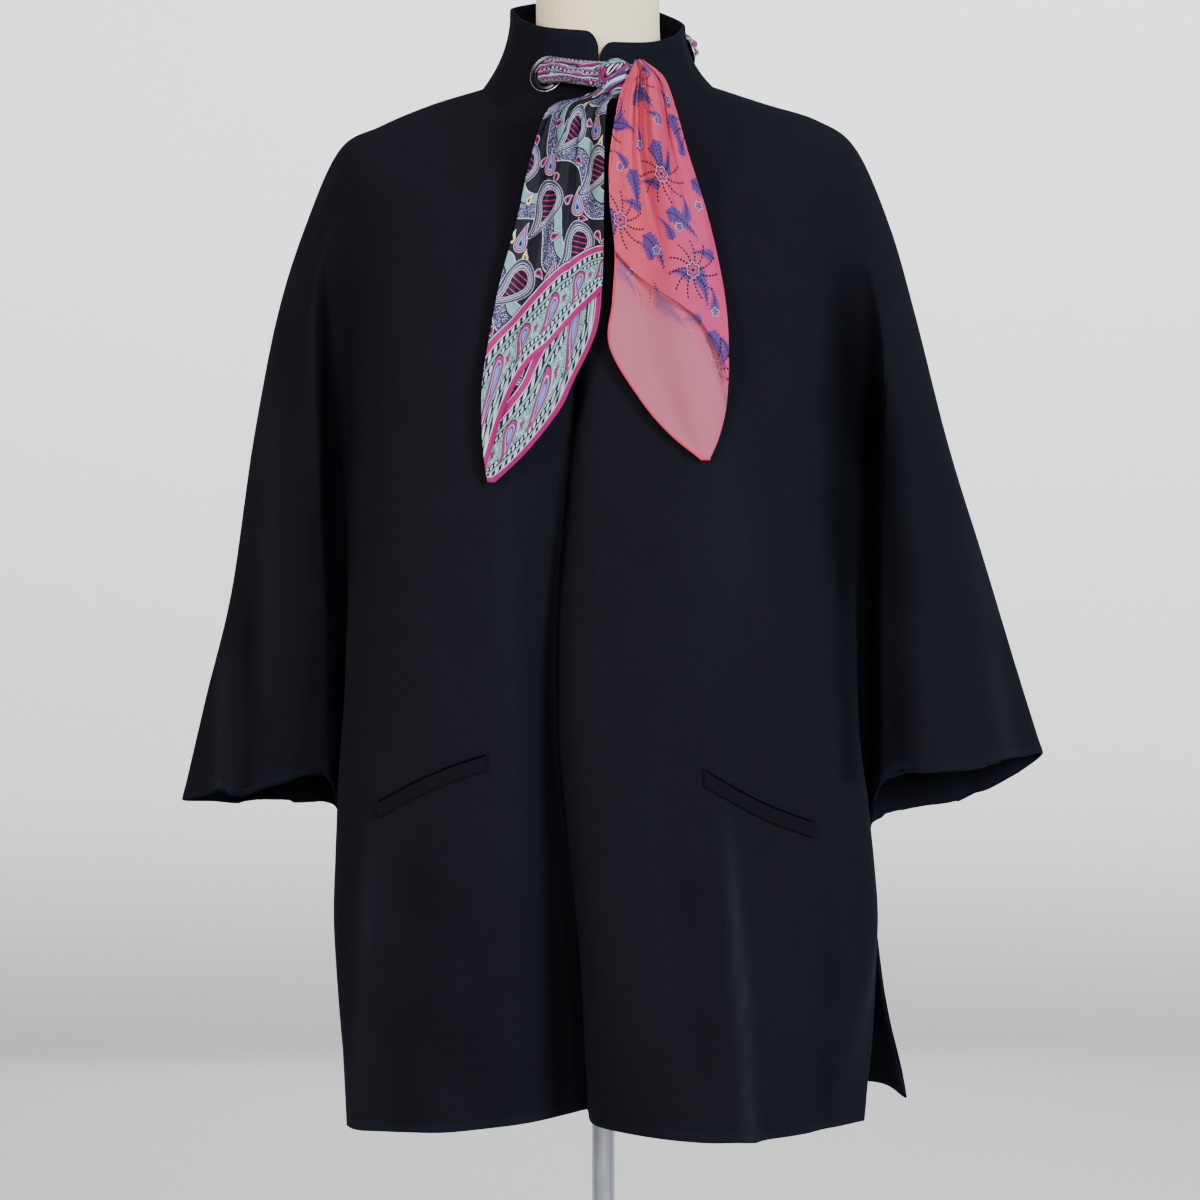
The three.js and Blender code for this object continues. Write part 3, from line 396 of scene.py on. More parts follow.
def grid_normals(grid):
    """Outward normals of a grid whose rows run down and whose columns run clockwise from above."""
    return unit(np.cross(np.gradient(grid, axis=1), np.gradient(grid, axis=0)))


# Soft folds. x and z are where a fold's top and foot lie on the cloth, bow is its sideways curve,
# wide its half width, high its height outwards, and the last two are how far its ends fade.
# The folds' heights also paint the wool: a painted highlight on their crests and painted shade in their
# troughs
FOLD_COLUMNS = "x_top z_top x_foot z_foot bow wide high fade_top fade_foot"

FRONT_FOLDS = table(FOLD_COLUMNS, [
    [97, 840, 119, 500, 1, 9, 7.2, 150, 5],
    [62, 880, 88, 500, -3, 20, -1.6, 170, 5],
    [190, 820, 184, 500, 3, 12, -2.0, 170, 5],
    [92, 1190, 84, 800, 6, 38, 3.4, 160, 160],
    [-184, 830, -207, 500, -3, 12, 5.0, 150, 5],
    [-150, 860, -160, 500, 3, 30, -2.2, 170, 5],
    [-100, 800, -104, 500, 2, 30, -1.6, 170, 5],
    [-80, 1140, -66, 640, -5, 20, 2.8, 150, 150],
    [-130, 1080, -128, 700, 4, 24, -1.2, 150, 150],
    [-56, 1160, -50, 780, -3, 12, -1.4, 170, 160],
    [-212, 1285, -214, 900, -5, 20, -3.6, 130, 200],
    [-248, 1120, -252, 790, 4, 17, -2.4, 120, 20],
    [212, 1290, 198, 860, -2, 27, -5.0, 130, 220],
    [200, 1080, 205, 790, 3, 12, -3.4, 130, 20],
    [228, 1220, 250, 790, 4, 22, -4.6, 170, 20],
    [-322, 985, -331, 770, 2, 8, 5.0, 110, 5],
    [-300, 1010, -306, 765, -2, 9, -3.0, 90, 5],
    [-274, 1240, -286, 830, -4, 12, 4.4, 120, 60],
    [300, 1100, 348, 800, 3, 16, 4.4, 110, 5],
    [330, 960, 366, 815, 0, 9, -3.0, 70, 5],
    [79, 1384, 78, 1316, 4, 7, 2.4, 8, 44],
    [98, 1372, 112, 1300, 2, 9, -1.8, 10, 40],
    [-84, 1372, -104, 1312, -2, 9, 1.6, 10, 40],
])

BACK_FOLDS = table(FOLD_COLUMNS, [
    [-66, 1190, -96, 505, -8, 25, 5.0, 170, 5],
    [18, 1250, 34, 505, 6, 30, 3.6, 180, 5],
    [112, 1150, 134, 505, 6, 22, 5.6, 160, 5],
    [-28, 1090, -34, 505, 4, 21, -3.6, 170, 5],
    [72, 1040, 84, 505, -3, 18, -3.4, 160, 5],
    [-142, 960, -156, 505, -4, 18, -3.0, 150, 5],
    [184, 960, 204, 505, 5, 20, 3.6, 140, 5],
    [-186, 820, -184, 505, 2, 14, 2.6, 110, 5],
    [-258, 1230, -300, 770, -5, 14, 3.2, 120, 5],
    [-286, 1050, -332, 770, 3, 10, -2.4, 100, 5],
    [262, 1210, 318, 780, 5, 15, 3.0, 120, 5],
    [300, 1050, 352, 800, -3, 10, -2.2, 90, 5],
    [0, 1392, 2, 1260, 2, 16, 1.4, 20, 80],
])

RIPPLES = table("across up high turn", [
    [0.021, 0.006, 0.35, 0.4],
    [0.009, 0.017, 0.3, 2.1],
    [0.034, 0.011, 0.18, 4.4],
])


def fold_heights(x, z, folds):
    """Sum of the folds' heights: each is a bell of the distance to its line, fading in at both ends."""
    total = np.zeros_like(x)
    for k in range(len(folds["high"])):
        fold = {name: values[k] for name, values in folds.items()}
        down = np.clip((fold["z_top"] - z) / (fold["z_top"] - fold["z_foot"]), 0, 1)
        line = mix(fold["x_top"], fold["x_foot"], down) + fold["bow"] * np.sin(math.pi * down)
        fade = smoothstep(0, fold["fade_top"], fold["z_top"] - z)
        fade = fade * smoothstep(0, fold["fade_foot"], z - fold["z_foot"])
        total += fold["high"] * fade * bell(x - line, fold["wide"])
    return total


def ripple_heights(x, z):
    """A few low waves of unlike lengths, so that no stretch of cloth is quite even."""
    total = np.zeros_like(x)
    for across, up, high, turn in zip(*RIPPLES.values()):
        total += high * np.sin(2 * math.pi * (across * x / 2 + up * z / 2) + turn)
    return total


# How the fronts meet: the right one leans behind the left one by the lap, and both are tucked back
LAP = 2.6
LAP_REACH = 4.5
TUCK_DEPTH = 3.5
TUCK_REACH = 9.0
TUCK_EASE = 0.7
# The tone's share of it: painted shade, as a depth, at the left edge, and a painted highlight, as a crest's
# lift, beside the right edge's foot
EDGE_SHADE = 7.0
EDGE_REACH = 8.0
FOOT_PAINTED_HIGHLIGHT = 5.0
FOOT_RUN = 15.0
# Rings over which the fold between the fronts begins, its tuck eases, its foot opens and its lean turns back
FOLD_RINGS = {"begin": (2.0, 4.0), "ease": (7.0, 11.0), "open": (7.5, 10.0), "back": (10.6, 12.0)}


def lap_edges(grid):
    """Tucks both front edges back by a bell of the way from them, and leans the right one behind the left.

    Gives the painted light and shade of the fold between them, as a depth for the cloth's tone: painted
    shade in a bell at the left edge, and a painted highlight, a bell below 0 as on a crest, beside the right
    edge's foot.
    """
    begun, ease, opened, back = (smoothstep(*rings, V)[:, None] for rings in FOLD_RINGS.values())
    depth = np.zeros(grid.shape[:2])
    for columns in (S <= 1, S >= LAST_STATION - 1):
        edge = grid[:, 0] if columns[0] else grid[:, -1]
        run = np.linalg.norm(grid[:, columns] - edge[:, None], axis=2)
        grid[:, columns, 1] += TUCK_DEPTH * bell(run, TUCK_REACH) * begun * (1 - TUCK_EASE * ease)
        if columns[0]:
            # Painted highlight beside the right edge's foot
            depth[:, columns] = -FOOT_PAINTED_HIGHLIGHT * bell(run - FOOT_RUN, EDGE_REACH) * opened
            lean = LAP * (1 - smoothstep(0, LAP_REACH, run))
            grid[:, columns, 0] += lean * begun
            grid[:, columns, 1] += lean * back
        else:
            # Painted shade along the left edge
            depth[:, columns] = EDGE_SHADE * bell(run, EDGE_REACH) * begun
    return depth


def coat_surface():
    """The outer face with its folds, its normals, and its painted light and shade: the folds' heights less
    the depth between the fronts.

    Two panels share their normals where they are sewn.
    """
    grid = coat_points(V, S)
    depth = lap_edges(grid)
    sleeve = in_sleeve(S)
    below = V > CUFF_RING
    cuff_row = int(np.searchsorted(V, CUFF_RING))
    slope = (grid[cuff_row] - grid[cuff_row - 1]) / (V[cuff_row] - V[cuff_row - 1])
    carried = grid[cuff_row][None] + (V[below] - CUFF_RING)[:, None, None] * slope[None]
    grid[np.ix_(below, sleeve)] = carried[:, sleeve]
    back = (S > OVERARM_RIGHT) & (S < OVERARM_LEFT)
    x, z = grid[..., 0], grid[..., 2]
    high = np.where(back[None, :], fold_heights(x, z, BACK_FOLDS), fold_heights(x, z, FRONT_FOLDS))
    high = (high + ripple_heights(x, z)) * smoothstep(0.0, 0.8, V)[:, None]
    for seam in (OVERARM_RIGHT, OVERARM_LEFT):
        high = high * smoothstep(0.0, 0.5, np.abs(S - seam))[None, :]
    for crease in CREASES:
        held = (V > CUFF_RING - 0.6) & (V < SLIT_RING + 0.4)
        high[held] *= smoothstep(0.0, 0.5, np.abs(S - crease))[None, :]
    grid = grid + grid_normals(grid) * high[..., None]
    normals = grid_normals(grid)
    for first, last in ((0, CREASES[0]), (CREASES[1], CREASES[2]), (CREASES[3], LAST_STATION)):
        block = np.flatnonzero((S >= first) & (S <= last))
        rows = np.arange(cuff_row, len(V))
        normals[np.ix_(rows[1:], block)] = grid_normals(grid[np.ix_(rows, block)])[1:]
    sewn = (V >= CUFF_RING) & (V <= SLIT_RING)
    for front, rear in ((CREASES[0], CREASES[1]), (CREASES[3], CREASES[2])):
        a, b = (int(np.searchsorted(S, place)) for place in (front, rear))
        shared = unit(normals[:, a] + normals[:, b])
        normals[sewn, a] = shared[sewn]
        normals[sewn, b] = shared[sewn]
    return grid, normals, high - depth


# Meshes

def new_mesh(name, vertices, quads, attributes=None):
    """One object of quads and triangles, in metres, shaded smooth, with named numbers on its vertices."""
    mesh = bpy.data.meshes.new(name)
    faces = [quads] if isinstance(quads, np.ndarray) else quads
    flat = [face for group in faces for face in group.tolist()]
    mesh.from_pydata((np.asarray(vertices) * MM).tolist(), [], flat)
    mesh.shade_smooth()
    for label, values in (attributes or {}).items():
        values = np.asarray(values, np.float32)
        kind = "FLOAT" if values.ndim == 1 else "FLOAT_VECTOR"
        attribute = mesh.attributes.new(label, kind, "POINT")
        attribute.data.foreach_set("value" if kind == "FLOAT" else "vector", values.ravel())
    mesh.validate()
    mesh.update()
    piece = bpy.data.objects.new(name, mesh)
    bpy.context.scene.collection.objects.link(piece)
    return piece


def nearest_distance(grid, edge_points):
    """Distance from each point of a grid to the nearest of the edge points, a row at a time."""
    return np.stack([np.linalg.norm(row[:, None] - edge_points[None], axis=2).min(axis=1) for row in grid])


def cells_at_points(keep):
    """How many kept cells meet at each point of a grid."""
    rows, columns = keep.shape
    touching = np.zeros((rows + 1, columns + 1), int)
    for i, j in ((0, 0), (0, 1), (1, 0), (1, 1)):
        touching[i:i + rows, j:j + columns] += keep
    return touching


def border_of(keep):
    """The points on the edge of the kept cells."""
    touching = cells_at_points(keep)
    return (touching > 0) & (touching < 4)


def shell(name, middle, normals, keep, half_thickness, attributes):
    """A closed wall: the middle face moved out and in by its half thickness, and joined where that is 0.

    keep says which cells hold cloth. Every point on the border of the kept cells belongs to both faces.
    """
    border = border_of(keep)
    used = cells_at_points(keep) > 0
    half = np.where(border, 0.0, half_thickness)[..., None]
    outer_number = np.full(used.shape, -1)
    outer_number[used] = np.arange(used.sum())
    inner = used & ~border
    inner_number = outer_number.copy()
    inner_number[inner] = used.sum() + np.arange(inner.sum())
    vertices = np.concatenate([(middle + normals * half)[used], (middle - normals * half)[inner]])

    def corners(number):
        return np.stack([number[:-1, :-1], number[1:, :-1], number[1:, 1:], number[:-1, 1:]], axis=-1)[keep]

    quads = np.concatenate([corners(outer_number), corners(inner_number)[:, ::-1]])
    values = {label: np.concatenate([value[used], value[inner]]) for label, value in attributes.items()}
    return new_mesh(name, vertices, quads, values)


def rounded(distance, radius):
    """Half thickness at a distance from the edge: a quarter circle, then even."""
    reach = np.minimum(distance, radius)
    return np.sqrt(np.maximum(radius**2 - (radius - reach) ** 2, 0.0))


def cloth_panel(name, grid, normals, keep, sewn, plain, fold=None):
    """A wool panel with rounded edges. Free edges, but for the plain ones, are turned in to a thicker band.

    Its mesh carries the way to its turned edges and its folds' heights, which set the wool's painted
    highlight and shade.
    """
    middle = grid - normals * HALF_WALL
    border = border_of(keep)
    to_edge = nearest_distance(middle, middle[border])
    free = border & ~sewn
    to_free = nearest_distance(middle, middle[free])
    to_turned = nearest_distance(middle, middle[free & ~plain])
    band = 1.0 - smoothstep(BAND_WIDTH - 0.8, BAND_WIDTH + 0.8, to_turned)
    half = rounded(to_free, HALF_WALL) * (1.0 + BAND_EXTRA / HALF_WALL * band)
    half = half * rounded(to_edge, SEAM_ROUNDING) / SEAM_ROUNDING
    fold = np.zeros_like(to_turned) if fold is None else fold
    return shell(name, middle, normals, keep, half, {"to_edge": to_turned, "fold": fold})


# The third grid is the painted light and shade that the wool's colour follows
COAT, COAT_NORMALS, COAT_LIGHT_AND_SHADE = coat_surface()


# Collar: how much narrower and shallower than the neckline its top is, and how its lean runs up
COLLAR_TOP_WIDTH = 0.76
COLLAR_TOP_DEPTH = 0.84
COLLAR_LEAN = 2.2
COLLAR_CORNER = 15
COLLAR_HEIGHT = 80
COLLAR_ROWS = 22
# Heights of the top edge at every eighth of the way round, from the wearer's right front edge
COLLAR_TOP = [1430, 1438, 1461, 1476, 1484, 1470, 1447, 1425, 1421]


def collar_top_heights(base, right):
    """Height of the collar's top edge over each point of the neckline, rounded at its two front corners."""
    turn = np.arctan2(np.abs(base[:, 0] - CENTRE_X), -base[:, 1]) / math.pi
    share = np.where(right, turn * 0.5, 1 - turn * 0.5)
    edge_x = np.where(right, FRONT_RIGHT["edge_x"][0], FRONT_LEFT["edge_x"][0])
    inside = np.where(base[:, 1] < 0, np.maximum(0, COLLAR_CORNER - np.abs(base[:, 0] - edge_x)), 0)
    rounding = COLLAR_CORNER - np.sqrt(COLLAR_CORNER**2 - inside**2)
    return through(COLLAR_TOP, share * (len(COLLAR_TOP) - 1)) - rounding


def collar_points(w, s, base):
    """The neckline carried up, drawn in by 1 - (1 - w)^lean as w goes from 0 at the seam to 1 at the top."""
    lean = 1 - (1 - w)[:, None] ** COLLAR_LEAN
    top = collar_top_heights(base, s < CENTRE_BACK)
    return points(
        CENTRE_X + (base[None, :, 0] - CENTRE_X) * mix(1, COLLAR_TOP_WIDTH, lean),
        base[None, :, 1] * mix(1, COLLAR_TOP_DEPTH, lean),
        mix(base[None, :, 2], top[None], w[:, None]),
    )


def collar_surface():
    """The collar's grid from its top edge down to the neckline, with the normals that it shares there."""
    w = unit_lines(COLLAR_ROWS + 1, RIM_STEPS / COLLAR_HEIGHT)[::-1]
    grid = collar_points(w, S, COAT[0])
    normals = grid_normals(grid)
    shared = unit(normals[-1] + COAT_NORMALS[0])
    normals[-1] = shared
    COAT_NORMALS[0] = shared
    return grid, normals


COLLAR, COLLAR_NORMALS = collar_surface()


def whole(grid):
    """Every cell of a grid kept."""
    return np.ones((grid.shape[0] - 1, grid.shape[1] - 1), bool)


def coat_panel(name, first, last):
    """One panel of the coat between two stations."""
    columns = np.flatnonzero((S >= first) & (S <= last))
    grid = COAT[:, columns]
    s = S[columns]
    between = (s[1:] + s[:-1]) / 2
    keep = ~((V[:-1, None] >= CUFF_RING) & in_sleeve(between)[None, :])
    sewn = np.zeros(grid.shape[:2], bool)
    sewn[0] = True
    for seam in (OVERARM_RIGHT, OVERARM_LEFT):
        sewn[:, s == seam] = True
    for crease in CREASES:
        sewn[np.ix_((V >= CUFF_RING) & (V <= SLIT_RING), s == crease)] = True
    plain = np.zeros(grid.shape[:2], bool)
    plain[:-1, (s == 0) | (s == LAST_STATION)] = True
    return cloth_panel(name, grid, COAT_NORMALS[:, columns], keep, sewn, plain, COAT_LIGHT_AND_SHADE[:, columns])


def build_coat(wool):
    """Two fronts and the back, each replacing its own solid."""
    cuts = {
        "front_right": (0, OVERARM_RIGHT, (0.40, 0.90), 0.310),
        "front_left": (OVERARM_LEFT, LAST_STATION, (0.44, 0.90), 0.360),
        "back": (OVERARM_RIGHT, OVERARM_LEFT, (0.86, 0.92), 0.635),
    }
    for node, (first, last, flat, area) in cuts.items():
        piece = coat_panel("wool_" + node, first, last)
        dress(piece, wool, "navy_wool", node)


def dress(piece, material, slot, *nodes):
    """Gives a finished piece its material and its body, and hides the solids that it stands for. Its slot is
    not used.
    """
    piece.data.materials.append(material)
    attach(piece, BODY)
    if nodes:
        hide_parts(*nodes)
    return piece


def apply_modifiers(piece):
    """Makes the modified mesh the piece's own."""
    graph = bpy.context.evaluated_depsgraph_get()
    mesh = bpy.data.meshes.new_from_object(piece.evaluated_get(graph))
    piece.modifiers.clear()
    piece.data = mesh


# Eyelets: a rolled metal ring on the collar, clear of its curve on both faces
EYELET_HOLE = 10.5
EYELET_BARREL = 11.6
EYELET_FLANGE = 16
EYELET_THICK = 1.5
EYELET_CUT = 12.3
EYELET_DRILL = 16
DRILL_SIDES = 40
EYELET_DISH = {"inset": 2.4, "high": 0.75}
EYELET_HIGHLIGHT_BANDS = {"flange": 0.8, "hole": 0.5}
EYELET_SEAT = 0.5
# Stations to each side of an eyelet and heights on the collar between which its seat is measured
SEAT_STATIONS = 2
SEAT_HEIGHTS = (0.1, 0.95)
SEAT_STEPS = 24
EYELET_SIDES = 72
EYELETS = {
    "eyelet_front_right": (2.22, 0.51),
    "eyelet_side_right": (10.8, 0.5),
    "eyelet_side_left": (16.2, 0.5),
    "eyelet_front_left": (24.07, 0.49),
}
NUDGE = 0.05


def on_collar(s, w):
    """The collar's outer points at stations s and height shares w, as a grid."""
    s = np.atleast_1d(np.asarray(s, float))
    w = np.atleast_1d(np.asarray(w, float))
    return collar_points(w, s, coat_points(np.zeros(1), s)[0])


def collar_out(s, w):
    """Outward direction of the collar at one place."""
    sides = on_collar([s - NUDGE, s + NUDGE], [w])[0]
    heights = on_collar([s], [w + NUDGE, w - NUDGE])[:, 0]
    return unit(np.cross(sides[1] - sides[0], heights[1] - heights[0]))


def off_collar(s, w, off):
    """A point off the collar's outer face."""
    return on_collar([s], [w])[0, 0] + collar_out(s, w) * off


def eyelet_frame(s, w):
    """Centre, outward direction, and the heights at which the two flanges clear the curved band."""
    centre = on_collar([s], [w])[0, 0]
    out = collar_out(s, w)
    stations = np.linspace(s - SEAT_STATIONS, s + SEAT_STATIONS, SEAT_STEPS + 1)
    around = on_collar(stations, np.linspace(*SEAT_HEIGHTS, SEAT_STEPS + 1)) - centre
    height = around @ out
    radius = np.sqrt(np.maximum((around**2).sum(axis=2) - height**2, 0))
    under = height[(radius >= EYELET_HOLE) & (radius <= EYELET_FLANGE + 1)]
    front = max(0.0, under.max()) + EYELET_SEAT
    back = min(0.0, under.min()) - WALL - EYELET_SEAT
    return {"centre": centre, "out": out, "front": front, "back": back}


FRAMES = {name: eyelet_frame(*place) for name, place in EYELETS.items()}


def turned(profile, sides, centre=(0, 0, 0), out=(0, 0, 1), closed=False):
    """A profile of (radius, height) turned about an axis: points and quads, the axis running along out.

    With closed, the profile's last point joins its first. Otherwise both its ends lie on the axis.
    """
    profile = np.asarray(profile, float)
    out = unit(np.asarray(out, float))
    helper = np.array([0.0, 0.0, 1.0]) if abs(out[2]) < 0.9 else np.array([1.0, 0.0, 0.0])
    first = unit(np.cross(helper, out))
    second = np.cross(out, first)
    angle = np.linspace(0, 2 * math.pi, sides, endpoint=False)[:, None, None]
    ring = np.cos(angle) * first + np.sin(angle) * second
    grid = np.asarray(centre, float) + ring * profile[None, :, :1] + out * profile[None, :, 1:]
    return wrapped_grid(grid.transpose(1, 0, 2), closed)


def wrapped_grid(grid, closed_rows=False):
    """Vertices and quads of a grid whose columns join round, and whose rows join too if closed_rows."""
    rows, columns = grid.shape[:2]
    number = np.arange(rows * columns).reshape(rows, columns)
    lower = np.roll(number, -1, axis=0) if closed_rows else number[1:]
    upper = number if closed_rows else number[:-1]
    quads = np.stack([upper, np.roll(upper, -1, axis=1), np.roll(lower, -1, axis=1), lower], axis=-1)
    return grid.reshape(-1, 3), quads.reshape(-1, 4)


def tidy_solid(piece, merge=0.02):
    """Merges doubled points, such as a pole's, and turns every face outwards."""
    work = bmesh.new()
    work.from_mesh(piece.data)
    bmesh.ops.remove_doubles(work, verts=work.verts, dist=merge * MM)
    bmesh.ops.recalc_face_normals(work, faces=work.faces)
    work.to_mesh(piece.data)
    work.free()
    piece.data.shade_smooth()
    return piece


def lathe_piece(name, profile, sides, centre=(0, 0, 0), out=(0, 0, 1), closed=False):
    """A turned piece."""
    vertices, quads = turned(profile, sides, centre, out, closed)
    return tidy_solid(new_mesh(name, vertices, quads))


def arc(centre_r, centre_z, radius, start, end, steps):
    """Points of a round corner in a profile, from one angle to another in degrees."""
    angles = np.radians(np.linspace(start, end, steps))
    return [(centre_r + radius * math.cos(a), centre_z + radius * math.sin(a)) for a in angles]


def build_collar(wool):
    """The collar band, with a round hole for each eyelet."""
    sewn = np.zeros(COLLAR.shape[:2], bool)
    sewn[-1] = True
    band = cloth_panel("wool_collar", COLLAR, COLLAR_NORMALS, whole(COLLAR), sewn, np.zeros_like(sewn))
    for name, place in FRAMES.items():
        low, high = -EYELET_DRILL, EYELET_DRILL
        profile = [(0, low), (EYELET_CUT, low), (EYELET_CUT, high), (0, high)]
        drill = lathe_piece("drill", profile, DRILL_SIDES, place["centre"], place["out"])
        cut = band.modifiers.new(name, "BOOLEAN")
        cut.operation = "DIFFERENCE"
        cut.solver = "EXACT"
        cut.object = drill
        apply_modifiers(band)
        bpy.data.objects.remove(drill)
    dress(band, wool, "navy_wool", "collar")


def build_eyelets(metal):
    """Each eyelet: a barrel, with a dished flange and rolled rim on both faces, from one closed profile."""
    outer, inner = EYELET_FLANGE - EYELET_DISH["inset"], EYELET_HOLE + EYELET_DISH["inset"]
    high = EYELET_DISH["high"]
    rim = EYELET_THICK / 2
    for name, place in FRAMES.items():
        front, back = place["front"], place["back"]
        profile = [
            *arc(EYELET_FLANGE - rim, front + rim, rim, -90, 110, 9),
            (outer, front + high), (inner, front + high),
            *arc(EYELET_HOLE + rim, front + rim, rim, 70, 180, 7),
            *arc(EYELET_HOLE + rim, back - rim, rim, 180, 290, 7),
            (inner, back - high), (outer, back - high),
            *arc(EYELET_FLANGE - rim, back - rim, rim, -110, 90, 9),
            (EYELET_BARREL, back), (EYELET_BARREL, front),
        ]
        vertices, quads = turned(profile, EYELET_SIDES, place["centre"], place["out"], closed=True)
        radius = np.array(profile)[:, 0]
        # Bands of the profile on both rims, which take a painted highlight
        on_flange = radius > EYELET_FLANGE - EYELET_HIGHLIGHT_BANDS["flange"]
        polished = on_flange | (radius < EYELET_HOLE + EYELET_HIGHLIGHT_BANDS["hole"])
        ring = new_mesh("metal_" + name, vertices, quads, {"rim": np.repeat(polished, EYELET_SIDES)})
        tidy_solid(ring)
        dress(ring, metal, "dark_chrome", name)


# Pocket welts: a slanted strip that lies on each front

WELT_LONG = 98
WELT_DEPTH = 14
WELT_THICK = 2.4
WELT_OFF = 0.45
# The slot's painted shadow along a welt's top: how far down it reaches, and the share of the length left at
# each end
WELT_SLOT_SHADOW = 1.8
SLOT_ENDS = 0.02
# The fold height that a welt's tone takes: painted shade, darker than the cloth round it
WELT_PAINTED_SHADE = -2.4
WELTS = {
    "pocket_welt_right": {"start": (-186, 787), "end": (-96, 827), "bow": 4, "low": 1.0, "high": 4.0},
    "pocket_welt_left": {"start": (82, 815), "end": (173, 771), "bow": -4, "low": 22.0, "high": 25.0},
}


def sampled(grid, v, s):
    """The coat grid's value at ring v and station s, each an array: bilinear between the grid's lines."""
    row = np.interp(v, V, np.arange(len(V)))
    column = np.interp(s, S, np.arange(len(S)))
    i = np.minimum(row.astype(int), len(V) - 2)
    j = np.minimum(column.astype(int), len(S) - 2)
    a = (row - i)[..., None]
    b = (column - j)[..., None]
    upper = mix(grid[i, j], grid[i, j + 1], b)
    lower = mix(grid[i + 1, j], grid[i + 1, j + 1], b)
    return mix(upper, lower, a)


def under_place(x, z, low, high):
    """Ring and station where the coat lies under each X and Z: bisection in v for Z, then in s for X."""
    v = np.full(x.shape, float(CUFF_RING))
    s = np.full(x.shape, (low + high) / 2)
    for _ in range(6):
        top, foot = np.zeros(x.shape), np.full(x.shape, float(LAST_RING))
        for _ in range(20):
            half = (top + foot) / 2
            above = sampled(COAT, half, s)[..., 2] > z
            top = np.where(above, half, top)
            foot = np.where(above, foot, half)
        v = (top + foot) / 2
        left, right = np.full(x.shape, low), np.full(x.shape, high)
        rising = sampled(COAT, v, right)[..., 0] > sampled(COAT, v, left)[..., 0]
        for _ in range(20):
            half = (left + right) / 2
            short = (sampled(COAT, v, half)[..., 0] < x) == rising
            left = np.where(short, half, left)
            right = np.where(short, right, half)
        s = (left + right) / 2
    return v, s


def build_welts(wool):
    """Each welt: the coat's own points under a slanted strip, moved out, with rounded edges."""
    for name, welt in WELTS.items():
        t = unit_lines(60, RIM_STEPS / WELT_LONG)[None, :]
        deep = unit_lines(12, RIM_STEPS / WELT_DEPTH)[:, None]
        x = mix(welt["start"][0], welt["end"][0], t) + 0 * deep
        top = mix(welt["start"][1], welt["end"][1], t) + welt["bow"] * np.sin(math.pi * t)
        z = top - WELT_DEPTH * deep
        v, s = under_place(x, z, welt["low"], welt["high"])
        ground = sampled(COAT, v, s)
        normals = unit(sampled(COAT_NORMALS, v, s))
        middle = ground + normals * (WELT_OFF + WELT_THICK / 2)
        keep = whole(middle)
        to_edge = nearest_distance(middle, middle[border_of(keep)])
        half = rounded(to_edge, WELT_THICK / 2)
        # Painted shadow of the pocket's opening along the welt's top
        in_slot_shadow = (deep * WELT_DEPTH < WELT_SLOT_SHADOW) & (t > SLOT_ENDS) & (t < 1 - SLOT_ENDS)
        marks = {
            "to_edge": np.full(x.shape, 2 * BAND_WIDTH),
            "slot": in_slot_shadow.astype(float),
            "fold": np.full(x.shape, WELT_PAINTED_SHADE),
        }
        strip = shell("wool_" + name, middle, normals, keep, half, marks)
        dress(strip, wool, "navy_wool", name)


# The scarf: laced through the four eyelets and tied in front of the collar

KNOT = {"centre": (10, -112, 1385), "size": (32, 26, 34), "rows": 90, "sides": 144}
TUCK = 9
EYELET_MOUTH = 1
# Each stretch: its height and thickness along its path, its pleats, their depth, and how many of them they
# wind on by
FRONT_STRETCH = {
    "out": 9, "towards": 3, "bow": 5, "entry_x": 6, "entry_z": 2,
    "tall": [14, 18, 24, 22, 25], "thick": [12, 14, 15, 11, 10],
    "pleats": 3, "depth": 0.5, "twist": 0.4,
}
FRONT_PRINT_SHIFT = 20
INSIDE_STRETCH = {
    "off": 1.6, "tall": [18, 18], "thick": [4.5, 4.5], "pleats": 8, "depth": 0.3, "twist": 0.6,
}
INSIDE_STATIONS = {
    "right": [2.1, 3, 4.5, 7, 9.5, 10.8],
    "left": [23.9, 23, 21.5, 19, 17.5, 16.1],
}
BACK_STRETCH = {
    "off": 6.5, "flange": [(9, 5), (10.5, 17)],
    "stations": [14.9, 14.4, 13.7, 13, 12.4, 12],
    "tall": [14, 17, 24, 26, 25, 24, 24, 24, 24, 22, 17, 14],
    "thick": [14, 20, 20, 12, 6, 5, 5, 6, 8, 9, 12, 12],
    "pleats": 7, "depth": 0.32, "twist": 1.0,
}
BAND_SHARE = 0.5
ROUND_END = 3.0
BUNDLE_SIDES = 96
BACK_STEPS = 260


def along_path(path, tall, thick, steps):
    """Centres, directions and half sizes along a path, its two ends closing to a point."""
    path = np.asarray(path, float)
    t = np.linspace(0, 1, steps)
    centre = hermite(path[None], t * (len(path) - 1))[0]
    run = np.concatenate([[0], np.cumsum(np.linalg.norm(np.diff(centre, axis=0), axis=1))])
    along = unit(np.gradient(centre, axis=0))
    side = unit(np.cross(along, [0, 0, 1]))
    rise = np.cross(side, along)
    from_end = np.clip(np.minimum(run, run[-1] - run) / ROUND_END, 0, 1)
    closing = np.sqrt(1 - (1 - from_end) ** 2)
    high = through(tall, t * (len(tall) - 1)) / 2 * closing
    deep = through(thick, t * (len(thick) - 1)) / 2 * closing
    return t, run, centre, side, rise, high, deep


